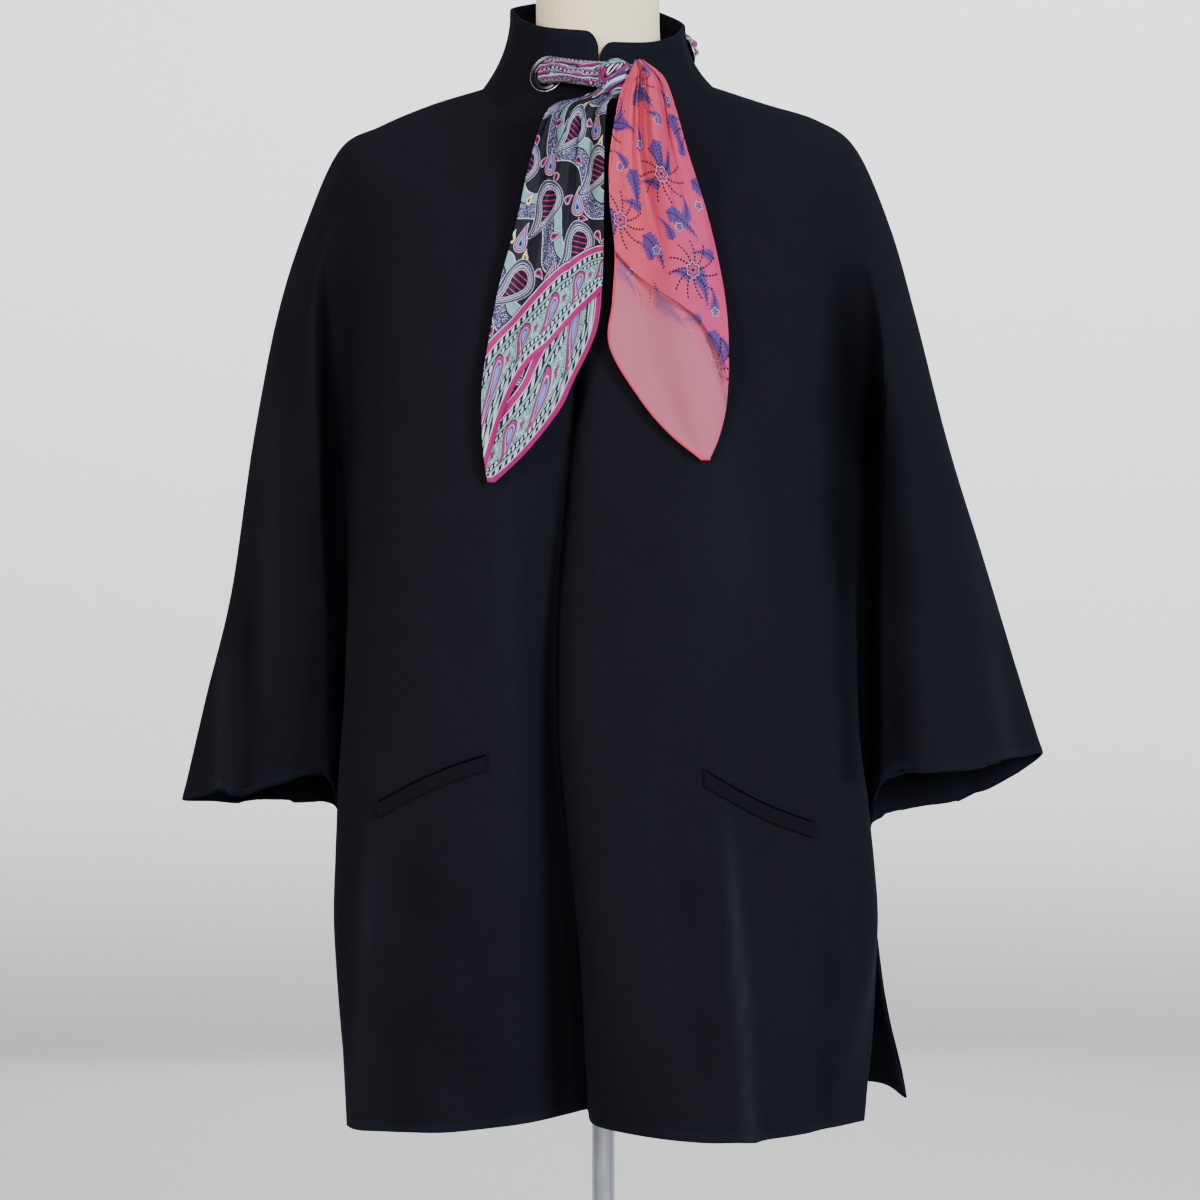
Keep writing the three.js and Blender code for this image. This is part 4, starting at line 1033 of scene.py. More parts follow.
def bundle(name, path, stretch, steps=150, shift=0.0):
    """A gathered stretch of silk: an oval carried along a path, its radius 1 - depth (1 - |cos|) of pleats.

    From end to end the pleats wind on by twist, counted in pleats, and a slow wave makes them uneven. shift
    moves the print aside, in mm.
    """
    t, run, centre, side, rise, high, deep = along_path(path, stretch["tall"], stretch["thick"], steps)
    angle = np.linspace(0, 2 * math.pi, BUNDLE_SIDES, endpoint=False)[None, :]
    t = t[:, None]
    bend = 0.5 * np.sin(2.3 * math.pi * t + angle)
    phase = angle * stretch["pleats"] / 2 + math.pi * stretch["twist"] * t + bend
    uneven = 0.75 + 0.25 * np.sin(3 * angle + 5 * t)
    radius = 1 - stretch["depth"] * uneven * (1 - np.abs(np.cos(phase)) ** 0.8)
    grid = (
        centre[:, None]
        + side[:, None] * (deep[:, None] * radius * np.cos(angle))[..., None]
        + rise[:, None] * (high[:, None] * radius * np.sin(angle))[..., None]
    )
    around = angle * (high + deep).mean() * 1.7
    cloth = points(run[:, None] + 0 * around, around + 0 * t + shift, 0.0)
    vertices, quads = wrapped_grid(grid)
    return tidy_solid(new_mesh(name, vertices, quads, {"print": cloth.reshape(-1, 3)}))


def off_eyelet(name, off):
    """A point on an eyelet's axis."""
    return FRAMES[name]["centre"] + FRAMES[name]["out"] * off


def over_flange(name, s):
    """Points over an eyelet's flange, aside from its middle towards a place on the collar."""
    middle = off_eyelet(name, 0)
    out = FRAMES[name]["out"]
    towards = off_collar(s, BAND_SHARE, 0) - middle
    away = unit(towards - out * (towards @ out))
    return [off_eyelet(name, off) + away * aside for off, aside in BACK_STRETCH["flange"]]


def front_path(eyelet, side):
    """From inside a front eyelet, out through it and across into the knot."""
    knot = np.array(KNOT["centre"], float)
    out = off_eyelet(eyelet, FRONT_STRETCH["out"])
    into = knot + [side * FRONT_STRETCH["entry_x"], 0, FRONT_STRETCH["entry_z"]]
    return [
        off_eyelet(eyelet, -TUCK),
        off_eyelet(eyelet, EYELET_MOUTH),
        out + [-side * FRONT_STRETCH["towards"], 0, 0],
        (out + into) / 2 + [0, -FRONT_STRETCH["bow"], 0],
        into,
    ]


def back_path():
    """Out of one side eyelet, round the back of the collar and into the other."""
    one, other = "eyelet_side_left", "eyelet_side_right"
    stations = BACK_STRETCH["stations"]
    return [
        off_eyelet(one, -TUCK), off_eyelet(one, EYELET_MOUTH), *over_flange(one, stations[0]),
        *[off_collar(s, BAND_SHARE, BACK_STRETCH["off"]) for s in stations],
        *over_flange(other, stations[-1])[::-1], off_eyelet(other, EYELET_MOUTH), off_eyelet(other, -TUCK),
    ]


def build_stretches(silk):
    """The five gathered stretches between the eyelets and the knot."""
    inset = TUCK + INSIDE_STRETCH["off"] + INSIDE_STRETCH["thick"][0] / 2
    for side, word in ((-1, "right"), (1, "left")):
        path = front_path("eyelet_front_" + word, side)
        front = bundle("silk_front_" + word, path, FRONT_STRETCH, shift=FRONT_PRINT_SHIFT * side)
        dress(front, silk, "paisley_silk", "scarf_front_" + word)
        path = [off_collar(s, BAND_SHARE, -inset) for s in INSIDE_STATIONS[word]]
        inside = bundle("silk_inside_" + word, path, INSIDE_STRETCH)
        dress(inside, silk, "paisley_silk", "scarf_inside_" + word)
    back = bundle("silk_back", back_path(), BACK_STRETCH, steps=BACK_STEPS)
    dress(back, silk, "paisley_silk", "scarf_back")


def build_knot(silk):
    """The knot: a ball of cloth, its radius 1 - depth (1 - |cos|) of pleats that wrap it on the slant."""
    high = np.linspace(0, math.pi, KNOT["rows"])[:, None]
    angle = np.linspace(0, 2 * math.pi, KNOT["sides"], endpoint=False)[None, :]
    slant = 2.5 * high + 2.0 * np.cos(angle - 0.6) + 0.25 * np.sin(3 * angle)
    fine = 6.0 * high + 3.2 * np.sin(angle + 0.5)
    radius = 1 - 0.15 * (1 - np.abs(np.cos(slant)) ** 0.7) - 0.06 * (1 - np.abs(np.cos(fine)))
    x = np.sin(high) * np.cos(angle)
    y = np.sin(high) * np.sin(angle)
    z = np.cos(high) + 0 * angle
    ball = points(x, y, z) * radius[..., None]
    grid = np.array(KNOT["centre"], float) + ball * np.array(KNOT["size"], float) / 2
    cloth = points(angle * 14 + 40 * high / math.pi, high * 15 + 6 * np.cos(angle), 0.0)
    vertices, quads = wrapped_grid(grid)
    piece = tidy_solid(new_mesh("silk_knot", vertices, quads, {"print": cloth.reshape(-1, 3)}))
    return dress(piece, silk, "paisley_silk", "scarf_knot")


# Tails: rows across each from the knot to the tip. left and right are as seen from the front.
TAIL_COLUMNS = "z left right y fold"
TAIL_WAVES = 1.6

TAIL_RIGHT = table(TAIL_COLUMNS, [
    [1379, 2, 12, -113, 2],
    [1369, -20, 7, -112, 4],
    [1359, -46, 2, -114, 5],
    [1320, -60, 0, -121, 6],
    [1263, -72, 0, -131, 5],
    [1214, -85, -1, -139, 4],
    [1173, -93, -6, -144, 3.5],
    [1133, -99, -24, -148, 3],
    [1108, -100, -36, -149.5, 2.5],
    [1075, -98.6, -62, -150, 1.5],
    [1049, -95, -89, -150, 0.5],
])

TAIL_LEFT = table(TAIL_COLUMNS, [
    [1399, 26, 32, -119, 1.5],
    [1386, 20, 48, -120.5, 3],
    [1366, 12, 57, -120.5, 4],
    [1320, 4.5, 70, -123, 5],
    [1280, 5, 83, -128, 5.5],
    [1239, 9, 93, -135, 5],
    [1198, 6.8, 100, -141, 4],
    [1160, 4.5, 102.4, -145, 3],
    [1116, 30, 101, -148, 2.5],
    [1088, 54, 95, -149.5, 1.5],
    [1067, 80, 86.5, -150, 0.5],
])

SILK_HALF = 0.3
HEM_BEAD = 0.9
LAYER_GAP = 1.7
ROW_PITCH = 36.0
TAIL_CUT_WIDTH = 104.0
LAST_GATHERED = 5
TAIL_ROWS = 110
TAIL_COLUMNS_ACROSS = 120
# Lines of the grid close to a tail's sides, and the share of that for its top and foot
TAIL_RIM = np.array([0.1, 0.5, 1.0, 1.7, 2.6]) / 90
RIM_DOWN = 0.4

# Creases of the tails: u runs across from the right edge of the view, t down the rows
CREASE_COLUMNS = "u_top t_top u_foot t_foot wide high"

TAIL_CREASES = {
    "right": table(CREASE_COLUMNS, [
        [0.75, 0.8, 0.60, 5.4, 0.035, -3.4],
        [0.45, 0.8, 0.30, 6.2, 0.030, -3.0],
        [0.88, 1.2, 0.80, 4.2, 0.030, -2.0],
        [0.20, 1.0, 0.12, 5.0, 0.035, -2.4],
        [0.62, 2.0, 0.44, 7.4, 0.050, 1.8],
    ]),
    "left": table(CREASE_COLUMNS, [
        [0.62, 0.4, 0.56, 4.8, 0.030, -4.2],
        [0.22, 0.8, 0.17, 4.6, 0.035, -2.6],
        [0.42, 0.6, 0.36, 6.0, 0.060, 2.2],
        [0.84, 0.8, 0.80, 4.4, 0.040, -2.2],
    ]),
}


# Each tail: its wave's start, and its print's lean below the gathered rows and its turn. Each layer: how far
# down its rows end from the right edge of the view to the left, how far it stands in front, the curl of its
# end, and its pleats at the knot and their depth.
TAILS = {
    "right": {
        "rows": TAIL_RIGHT, "creases": TAIL_CREASES["right"], "phase": 0.1, "lean": -7, "turn": 40,
        "under": {"ends": [10, 10], "off": 0.0, "curl": 0.0, "pleats": 5, "depth": 4.2},
        "upper": {
            "ends": [5.18, 5.62, 6.26, 6.92, 8.9, 9.73],
            "off": LAYER_GAP, "curl": 0.6, "pleats": 5, "depth": 4.2,
        },
    },
    "left": {
        "rows": TAIL_LEFT, "creases": TAIL_CREASES["left"], "phase": 0.35, "lean": 2, "turn": -35,
        "under": {"ends": [10, 10], "off": 0.0, "curl": 0.0, "pleats": 4, "depth": 3.6},
        "upper": {
            "ends": [7.68, 6.56, 6.1, 5.78, 5.44, 5.01],
            "off": LAYER_GAP, "curl": 3.0, "pleats": 4, "depth": 3.8,
        },
    },
}


def crease_heights(creases, t, u):
    """Sum of the creases' heights: each is a bell of the distance to its line, fading in at both ends."""
    total = np.zeros_like(t)
    for u_top, t_top, u_foot, t_foot, wide, high in zip(*creases.values()):
        down = np.clip((t - t_top) / (t_foot - t_top), 0, 1)
        fade = smoothstep(t_top - 0.3, t_top + 0.8, t) * (1 - smoothstep(t_foot - 1.6, t_foot, t))
        total += high * fade * bell(u - mix(u_top, u_foot, down), wide)
    return total


def tail_surface(tail, layer):
    """A gathered sheet: table rows carried down, a broad wave across, fading pleats, and listed creases."""
    u = unit_lines(TAIL_COLUMNS_ACROSS, TAIL_RIM)
    down = unit_lines(TAIL_ROWS, TAIL_RIM * RIM_DOWN)
    ends = through(layer["ends"], u * (len(layer["ends"]) - 1))
    t = down[:, None] * ends[None, :]
    u = u[None, :] + 0 * t
    at = {name: through(values, t) for name, values in tail["rows"].items()}
    wave = np.cos(2 * math.pi * (TAIL_WAVES * u + tail["phase"]))
    near = 1 - smoothstep(0.5, 6.5, t)
    roll = layer["curl"] * smoothstep(-1.6, 0, t - ends[None, :])
    bend = layer["pleats"] * u + 0.25 * np.sin(0.9 * t) + 0.15 * np.sin(7 * u + 0.6 * t)
    pleat = np.abs(np.sin(math.pi * bend)) ** 0.8 - 0.6
    ripple = 0.5 * np.sin(5.2 * u + 1.1 * t) + 0.35 * np.sin(2.1 * t - 8 * u)
    x = mix(at["right"], at["left"], u) + 0.8 * near * np.sin(2 * math.pi * bend)
    gather = smoothstep(0, 1.6, t)
    y = at["y"] - at["fold"] * wave - layer["depth"] * near * gather * pleat - ripple * (1 - near)
    y = y - layer["off"] - roll - crease_heights(tail["creases"], t, u)
    return points(x, y, at["z"]), t, u


def print_place(tail, grid, t):
    """Where each point lies on the flat cloth, turned by the tail's angle.

    Across is the way from the tail's middle line, spread to the cut width as far as the cloth is gathered,
    and down is the height fallen. Below the last gathered row the middle line leans on evenly.
    """
    held = np.minimum(t, LAST_GATHERED)
    left, right = through(tail["rows"]["left"], held), through(tail["rows"]["right"], held)
    middle = (left + right) / 2 + tail["lean"] * np.maximum(t - LAST_GATHERED, 0)
    across = (middle - grid[..., 0]) * TAIL_CUT_WIDTH / (right - left)
    down = tail["rows"]["z"][0] - grid[..., 2]
    cosine, sine = math.cos(math.radians(tail["turn"])), math.sin(math.radians(tail["turn"]))
    return points(across * cosine - down * sine, across * sine + down * cosine, 0.0)


def build_tail(name, side, which, silk, slot, hem):
    """One layer of a tail: a thin shell with a rolled hem where the layer ends."""
    tail = TAILS[side]
    grid, t, u = tail_surface(tail, tail[which])
    normals = grid_normals(grid)
    if normals[..., 1].mean() > 0:
        normals = -normals
    keep = whole(grid)
    to_edge = nearest_distance(grid, grid[border_of(keep)])
    to_hem = nearest_distance(grid, hem(grid))
    to_top = nearest_distance(grid, grid[0])
    bead = np.where(to_hem < 2 * HEM_BEAD, np.sqrt(np.maximum(HEM_BEAD**2 - (to_hem - HEM_BEAD) ** 2, 0)), 0)
    half = np.maximum(rounded(to_edge, SILK_HALF), bead * smoothstep(4, 12, to_top))
    ends = tail["upper"]["ends"]
    beyond = (t - through(ends, u * (len(ends) - 1))) * ROW_PITCH
    marks = {"print": print_place(tail, grid, t), "to_hem": to_hem, "beyond": beyond}
    return dress(shell(name, grid, normals, keep, half, marks), silk, slot)


def build_tails(paisley, coral, reverse):
    """Both tails: the paisley one in two layers, and the coral one folded over its own reverse side."""
    lower_right = build_tail(
        "silk_tail_right_under", "right", "under", paisley, "paisley_silk",
        lambda grid: np.concatenate([grid[grid.shape[0] // 2:, 0], grid[-1]]),
    )
    upper_right = build_tail(
        "silk_tail_right", "right", "upper", paisley, "paisley_silk", lambda grid: grid[-1],
    )
    lower_left = build_tail(
        "silk_tail_left_reverse", "left", "under", reverse, "coral_silk",
        lambda grid: np.concatenate([grid[:, -1], grid[-1]]),
    )
    upper_left = build_tail(
        "silk_tail_left", "left", "upper", coral, "coral_silk", lambda grid: grid[-1],
    )
    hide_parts("scarf_tail_right")
    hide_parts("scarf_tail_left")
    return lower_right, upper_right, lower_left, upper_left


# Dress form: its yoke follows the coat's yoke from below, and the rest is its own rings

REST_GAP = 1.6
YOKE_SLACK = 5
YOKE_RINGS = [0, 0.5, 1, 1.5, 2]
NECKLINE_SLACK = 6
NECK_CENTRE_Y = 6
FORM_INSET = 0.6
QUARTER_FRONT = [2, 3, 4, 3, 2, 3, 3]
QUARTER_BACK = [3, 3, 2, 3, 3, 3]
FORM_COLUMNS = "front_z side_z back_z half front_y back_y"

FORM_NECK = table(FORM_COLUMNS, [
    [1500, 1500, 1500, 54, -48, 60],
    [1440, 1440, 1440, 54, -48, 60],
    [1404, 1416, 1418, 57, -50, 64],
    [1372, 1398, 1400, 66, -56, 70],
])

FORM_BODY = table(FORM_COLUMNS, [
    [1238, 1322, 1275, 197, -117, 108],
    [1200, 1275, 1225, 188, -120, 112],
    [1150, 1200, 1160, 172, -122, 112],
    [1095, 1120, 1090, 160, -116, 104],
    [1010, 1020, 1010, 134, -98, 86],
    [930, 935, 930, 150, -92, 98],
    [870, 870, 870, 166, -86, 108],
    [820, 820, 820, 168, -78, 106],
    [800, 800, 800, 156, -68, 96],
    [792, 792, 792, 132, -52, 80],
])

FORM_ROUND = 2
FORM_SQUARE = 2.3
FORM_SIDES = 148
ROWS_PER_FORM_RING = 6
# How far in from its edge the form's flat top and foot have their first ring
FORM_RIM = 0.04


def form_ring(rows, k, square, share):
    """A ring x = half |sin|^p, y = depth |cos|^p, p = 2 / square, its height rising towards the sides."""
    row = {name: values[k] for name, values in rows.items()}
    angle = 2 * math.pi * share
    sine, cosine = -np.sin(angle), np.cos(angle)
    front = cosine > 0
    end_z = np.where(front, row["front_z"], row["back_z"])
    depth = np.where(front, -row["front_y"], row["back_y"]) - FORM_INSET
    shaped_sine = np.sign(sine) * np.abs(sine) ** (2 / square)
    shaped_cosine = np.sign(cosine) * np.abs(cosine) ** (2 / square)
    half = row["half"] - FORM_INSET
    return points(CENTRE_X + half * shaped_sine, -depth * shaped_cosine, mix(end_z, row["side_z"], sine**2))


def yoke_ring(v, stations):
    """The coat's ring drawn in by the wall and a gap that is least along the shoulder line."""
    around = coat_points(np.array([v - 0.02 if v else 0.0, v + 0.02]), stations)
    ring = coat_points(np.array([float(v)]), stations)[0]
    along = np.roll(ring, -1, axis=0) - np.roll(ring, 1, axis=0)
    normals = unit(np.cross(along, around[1] - around[0]))
    away = np.minimum(np.abs(stations - OVERARM_RIGHT), np.abs(stations - OVERARM_LEFT)) / OVERARM_RIGHT
    draw_in = WALL + REST_GAP + YOKE_SLACK * away**2 + (NECKLINE_SLACK if v == 0 else 0)
    return ring - normals * draw_in[:, None]


def build_form(jersey):
    """The form's body: its rings joined by a smooth curve down each line, closed at the neck and below."""
    counts = [*QUARTER_FRONT, *QUARTER_BACK, *QUARTER_BACK[::-1], *QUARTER_FRONT[::-1]]
    marks = np.concatenate([[0], np.cumsum(counts)]) / sum(counts)
    share = np.linspace(0, 1, FORM_SIDES, endpoint=False)
    stations = np.interp(share, marks, np.arange(LAST_STATION + 1))
    rings = np.stack([
        *[form_ring(FORM_NECK, k, FORM_ROUND, share) for k in range(len(FORM_NECK["half"]))],
        *[yoke_ring(v, stations) for v in YOKE_RINGS],
        *[form_ring(FORM_BODY, k, FORM_SQUARE, share) for k in range(len(FORM_BODY["half"]))],
    ])
    down = np.linspace(0, len(rings) - 1, ROWS_PER_FORM_RING * len(rings))
    lines = hermite(rings.transpose(1, 0, 2), down).transpose(1, 0, 2)
    top = np.broadcast_to(lines[0].mean(axis=0), lines[0].shape)
    foot = np.broadcast_to(lines[-1].mean(axis=0), lines[-1].shape)
    rim_top, rim_foot = mix(lines[0], top, FORM_RIM), mix(lines[-1], foot, FORM_RIM)
    lines = np.concatenate([top[None], rim_top[None], lines, rim_foot[None], foot[None]])
    vertices, quads = wrapped_grid(lines)
    body = tidy_solid(new_mesh("jersey_form", vertices, quads), merge=0.05)
    dress(body, jersey, "cream_jersey", "form_body")


STAND = {
    "neck_top": 1500, "cap_radius": 55, "cap_thick": 10, "base_radius": 165, "base_thick": 9,
    "pole_radius": 10, "pole_foot": 9.3, "pole_head": 791.7, "gap": 0.3,
}


def build_stand(chrome):
    """Neck cap, pole and round base, each turned from a profile with rolled edges."""
    low = STAND["neck_top"] + STAND["gap"]
    high = low + STAND["cap_thick"]
    radius = STAND["cap_radius"]
    cap = [
        (0, low), (radius - 1, low), *arc(radius - 1, low + 1, 1, -90, 0, 5),
        *arc(radius - 4, high - 4, 4, 0, 90, 10), (radius * 0.6, high), (0, high),
    ]
    pieces = [("chrome_neck_cap", cap, 96, (CENTRE_X, NECK_CENTRE_Y, 0), "form_neck_cap")]
    radius = STAND["pole_radius"]
    foot, head = STAND["pole_foot"], STAND["pole_head"]
    pole = [(0, foot), (radius, foot)]
    pole += [(radius, height) for height in np.linspace(foot + 1, head - 1, 12)]
    pole += [(radius, head), (0, head)]
    pieces.append(("chrome_pole", pole, 64, (0, 0, 0), "form_pole"))
    radius, thick = STAND["base_radius"], STAND["base_thick"]
    base = [
        (0, 0), (radius - 1, 0), *arc(radius - 1, 1, 1, -90, 0, 5),
        *arc(radius - 3.5, thick - 3.5, 3.5, 0, 90, 9), (radius * 0.5, thick), (0, thick),
    ]
    pieces.append(("chrome_base", base, 128, (0, 0, 0), "form_base"))
    for name, profile, sides, centre, node in pieces:
        dress(lathe_piece(name, profile, sides, centre), chrome, "chrome", node)


# Short ways to write a node tree

def join(tree, socket, value):
    """Feeds a socket from a wire, or sets its own value."""
    if isinstance(value, Wire):
        tree.links.new(value.socket, socket)
    else:
        socket.default_value = value


def calculated(tree, operation, *values):
    """A Math node's result."""
    node = tree.nodes.new("ShaderNodeMath")
    node.operation = operation
    for socket, value in zip(node.inputs, values):
        join(tree, socket, value)
    return Wire(tree, node.outputs[0])


class Wire:
    """A socket's value in a node tree. Its operators and methods add Math nodes."""

    def __init__(self, tree, socket):
        self.tree = tree
        self.socket = socket

    def math(self, operation, *others):
        return calculated(self.tree, operation, self, *others)

    def __add__(self, other):
        return self.math("ADD", other)

    def __sub__(self, other):
        return self.math("SUBTRACT", other)

    def __rsub__(self, other):
        return calculated(self.tree, "SUBTRACT", other, self)

    def __mul__(self, other):
        return self.math("MULTIPLY", other)

    def __truediv__(self, other):
        return self.math("DIVIDE", other)

    def between(self, low, high):
        """0 at low and 1 at high, smooth, and held beyond them."""
        node = self.tree.nodes.new("ShaderNodeMapRange")
        node.interpolation_type = "SMOOTHSTEP"
        join(self.tree, node.inputs["Value"], self)
        node.inputs["From Min"].default_value = low
        node.inputs["From Max"].default_value = high
        return Wire(self.tree, node.outputs["Result"])


def blended(tree, share, low, high):
    """A colour between two others."""
    node = tree.nodes.new("ShaderNodeMix")
    node.data_type = "RGBA"
    join(tree, node.inputs[0], share)
    join(tree, node.inputs[6], low)
    join(tree, node.inputs[7], high)
    return Wire(tree, node.outputs[2])


def noise(tree, place, scale, detail=2.0, roughness=0.5):
    """Soft noise between 0 and 1."""
    node = tree.nodes.new("ShaderNodeTexNoise")
    join(tree, node.inputs["Vector"], place)
    join(tree, node.inputs["Scale"], scale)
    node.inputs["Detail"].default_value = detail
    node.inputs["Roughness"].default_value = roughness
    return Wire(tree, node.outputs[0])


def cells(tree, place, scale, feature="F1"):
    """Distance in a field of random cells."""
    node = tree.nodes.new("ShaderNodeTexVoronoi")
    node.feature = feature
    join(tree, node.inputs["Vector"], place)
    join(tree, node.inputs["Scale"], scale)
    return Wire(tree, node.outputs["Distance"])


def parts_of(tree, vector):
    """The three numbers of a vector."""
    node = tree.nodes.new("ShaderNodeSeparateXYZ")
    join(tree, node.inputs[0], vector)
    return [Wire(tree, socket) for socket in node.outputs]


def vector_of(tree, x, y, z=0.0):
    """A vector from three numbers."""
    node = tree.nodes.new("ShaderNodeCombineXYZ")
    for socket, value in zip(node.inputs, (x, y, z)):
        join(tree, socket, value)
    return Wire(tree, node.outputs[0])


def random_of(tree, place):
    """An even random number for each place."""
    node = tree.nodes.new("ShaderNodeTexWhiteNoise")
    join(tree, node.inputs["Vector"], place)
    return Wire(tree, node.outputs["Value"])


def attribute(tree, name, output="Fac"):
    """A number or vector that the piece's mesh carries."""
    node = tree.nodes.new("ShaderNodeAttribute")
    node.attribute_name = name
    return Wire(tree, node.outputs[output])


def object_place(tree):
    """Place on the object, in metres."""
    return Wire(tree, tree.nodes.new("ShaderNodeTexCoord").outputs["Object"])


def bumped(tree, height, distance, strength=1.0):
    """A normal that leans with a height."""
    node = tree.nodes.new("ShaderNodeBump")
    node.inputs["Strength"].default_value = strength
    node.inputs["Distance"].default_value = distance
    join(tree, node.inputs["Height"], height)
    return Wire(tree, node.outputs[0])


SOCKETS = {"number": "NodeSocketFloat", "vector": "NodeSocketVector", "colour": "NodeSocketColor"}


def new_group(name, inputs, outputs):
    """An empty shader node group: its tree, its inputs as wires, and the node that its outputs join."""
    tree = bpy.data.node_groups.new(name, "ShaderNodeTree")
    for label, kind in inputs.items():
        tree.interface.new_socket(label, in_out="INPUT", socket_type=SOCKETS[kind])
    for label, kind in outputs.items():
        tree.interface.new_socket(label, in_out="OUTPUT", socket_type=SOCKETS[kind])
    source = tree.nodes.new("NodeGroupInput")
    sink = tree.nodes.new("NodeGroupOutput")
    return tree, {label: Wire(tree, source.outputs[label]) for label in inputs}, sink


def placed(tree, group, values):
    """A group set in a tree with its own values: its outputs by name."""
    node = tree.nodes.new("ShaderNodeGroup")
    node.node_tree = group
    for label, value in values.items():
        join(tree, node.inputs[label], value)
    return {socket.name: Wire(tree, socket) for socket in node.outputs}


def new_material(name, **settings):
    """A material with one Principled shader, its even values set on the shader's own sockets."""
    material = bpy.data.materials.new(name)
    material.use_nodes = True
    tree = material.node_tree
    tree.nodes.clear()
    shader = tree.nodes.new("ShaderNodeBsdfPrincipled")
    result = tree.nodes.new("ShaderNodeOutputMaterial")
    tree.links.new(shader.outputs[0], result.inputs["Surface"])
    for label, value in settings.items():
        shader.inputs[label.replace("_", " ")].default_value = value
    return material, tree, shader


# Finishes

WOOL_DARK = (0.0057, 0.0052, 0.0070, 1)
WOOL_LIGHT = (0.0083, 0.0077, 0.0107, 1)
# Painted highlight of the folds' crests
WOOL_PAINTED_HIGHLIGHT = (0.0190, 0.0190, 0.0250, 1)
WOOL_EDGE = (0.0086, 0.0104, 0.0210, 1)
# Painted shade: the black of the folds' troughs and the welts' slots
PAINTED_SHADE_BLACK = (0.0006, 0.0006, 0.0008, 1)
# Fold heights over which the wool turns to its painted highlight, depths over which it turns to black
# painted shade, and how far its turned edges take their own colour
PAINTED_HIGHLIGHT_HEIGHTS = (0.4, 15.0)
PAINTED_SHADE_DEPTHS = (0.4, 7.6)
EDGE_SHARE = 0.24

JERSEY_DARK = (0.99, 0.77, 0.44, 1)
JERSEY_LIGHT = (1.0, 0.82, 0.50, 1)

# The silk's inks
INKS = {
    "plum": (0.0030, 0.0012, 0.0045, 1),
    "white": (0.47, 0.47, 0.54, 1),
    "lilac": (0.085, 0.070, 0.18, 1),
    "slate": (0.030, 0.022, 0.085, 1),
    "sky": (0.13, 0.19, 0.50, 1),
    "mint": (0.15, 0.31, 0.28, 1),
    "magenta": (0.31, 0.001, 0.105, 1),
    "cream": (0.66, 0.56, 0.15, 1),
    "coral": (0.50, 0.042, 0.074, 1),
    "rose": (0.44, 0.036, 0.115, 1),
    "violet": (0.075, 0.027, 0.15, 1),
    "dusty": (0.39, 0.092, 0.130, 1),
}


def felt_group():
    """Milled wool: cloudy tone from wide noise, short fibres from noise drawn out, and a height of both."""
    inputs = {"Place": "vector", "Fibre": "number", "Cloud": "number"}
    tree, given, sink = new_group("felt_nap", inputs, {"Tone": "number", "Height": "number"})
    x, y, z = parts_of(tree, given["Place"])
    drawn = vector_of(tree, x, y, z * 0.45)
    fibre = noise(tree, drawn, given["Fibre"], 3.0, 0.65)
    cloud = noise(tree, given["Place"], given["Cloud"], 3.0, 0.55)
    fuzz = cells(tree, given["Place"], given["Fibre"] * 0.6)
    join(tree, sink.inputs["Tone"], fibre * 0.85 + cloud * 0.15)
    join(tree, sink.inputs["Height"], fibre * 0.7 + fuzz * 0.3)
    return tree


def twill_group():
    """Silk twill: fine slanted ribs with uneven threads, as a height and a faint change of tone."""
    inputs = {"Place": "vector", "Pitch": "number"}
    tree, given, sink = new_group("silk_twill", inputs, {"Height": "number", "Tone": "number"})
    x, y, _ = parts_of(tree, given["Place"])
    slub = noise(tree, vector_of(tree, x * 0.15, y * 2.0), 1.0, 2.0)
    rib = ((x + y + slub * 0.6) / given["Pitch"] * (2 * math.pi)).math("SINE")
    join(tree, sink.inputs["Height"], rib * 0.5 + slub)
    join(tree, sink.inputs["Tone"], slub)
    return tree


def way_out(x, y):
    """Way out from 0, 0."""
    return (x * x + y * y).math("SQRT")


def teardrop_group():
    """Distance in mm to a curled teardrop, below 0 inside it, and the place's way along and aside of it.

    The drop is a head circle at 0, 0 and a tip circle at 0, Length, with their outer tangents. Its middle
    line bends aside by Curl times the square of the way along.
    """
    inputs = dict.fromkeys(("X", "Y", "Head", "Tip", "Length", "Curl"), "number")
    outputs = dict.fromkeys(("Distance", "Along", "Aside"), "number")
    tree, given, sink = new_group("teardrop", inputs, outputs)
    y, length, head, tip = given["Y"], given["Length"], given["Head"], given["Tip"]
    way = y / length
    x = (given["X"] - given["Curl"] * way * way).math("ABSOLUTE")
    lean = (head - tip) / length
    rise = (1.0 - lean * lean).math("SQRT")
    along = y * rise - x * lean
    to_head = way_out(x, y) - head
    to_tip = way_out(x, y - length) - tip
    to_side = x * rise + y * lean - head
    past_tip = along.math("GREATER_THAN", rise * length)
    before_head = along.math("LESS_THAN", 0.0)
    nearer = mix(to_side, to_tip, past_tip)
    join(tree, sink.inputs["Distance"], mix(nearer, to_head, before_head))
    join(tree, sink.inputs["Along"], way)
    join(tree, sink.inputs["Aside"], x)
    return tree


def drop(tree, teardrop, x, y, shape, angle):
    """One teardrop of head, tip, length and curl, its middle at 0, 0, turned by an angle."""
    head, tip, length, curl = shape
    cosine, sine = angle.math("COSINE"), angle.math("SINE")
    values = {
        "X": x * cosine + y * sine + curl / 3,
        "Y": y * cosine - x * sine + (length + tip - head) / 2,
        "Head": head, "Tip": tip, "Length": length, "Curl": curl,
    }
    return placed(tree, teardrop, values)


def in_cells(tree, x, y, motif):
    """Place from the middle of a motif's cell, in rows that shift by half a cell, and the cell's chance."""
    wide, tall = motif["cell"]
    shift_x, shift_y = motif["shift"]
    x, y = x + shift_x, y + shift_y
    row = (y / tall).math("FLOOR")
    beside = x / wide + (row * 0.5).math("FRACT")
    column = beside.math("FLOOR")
    chance = random_of(tree, vector_of(tree, column, row, motif["seed"]))
    return (beside - column - 0.5) * wide, (y / tall - row - 0.5) * tall, chance


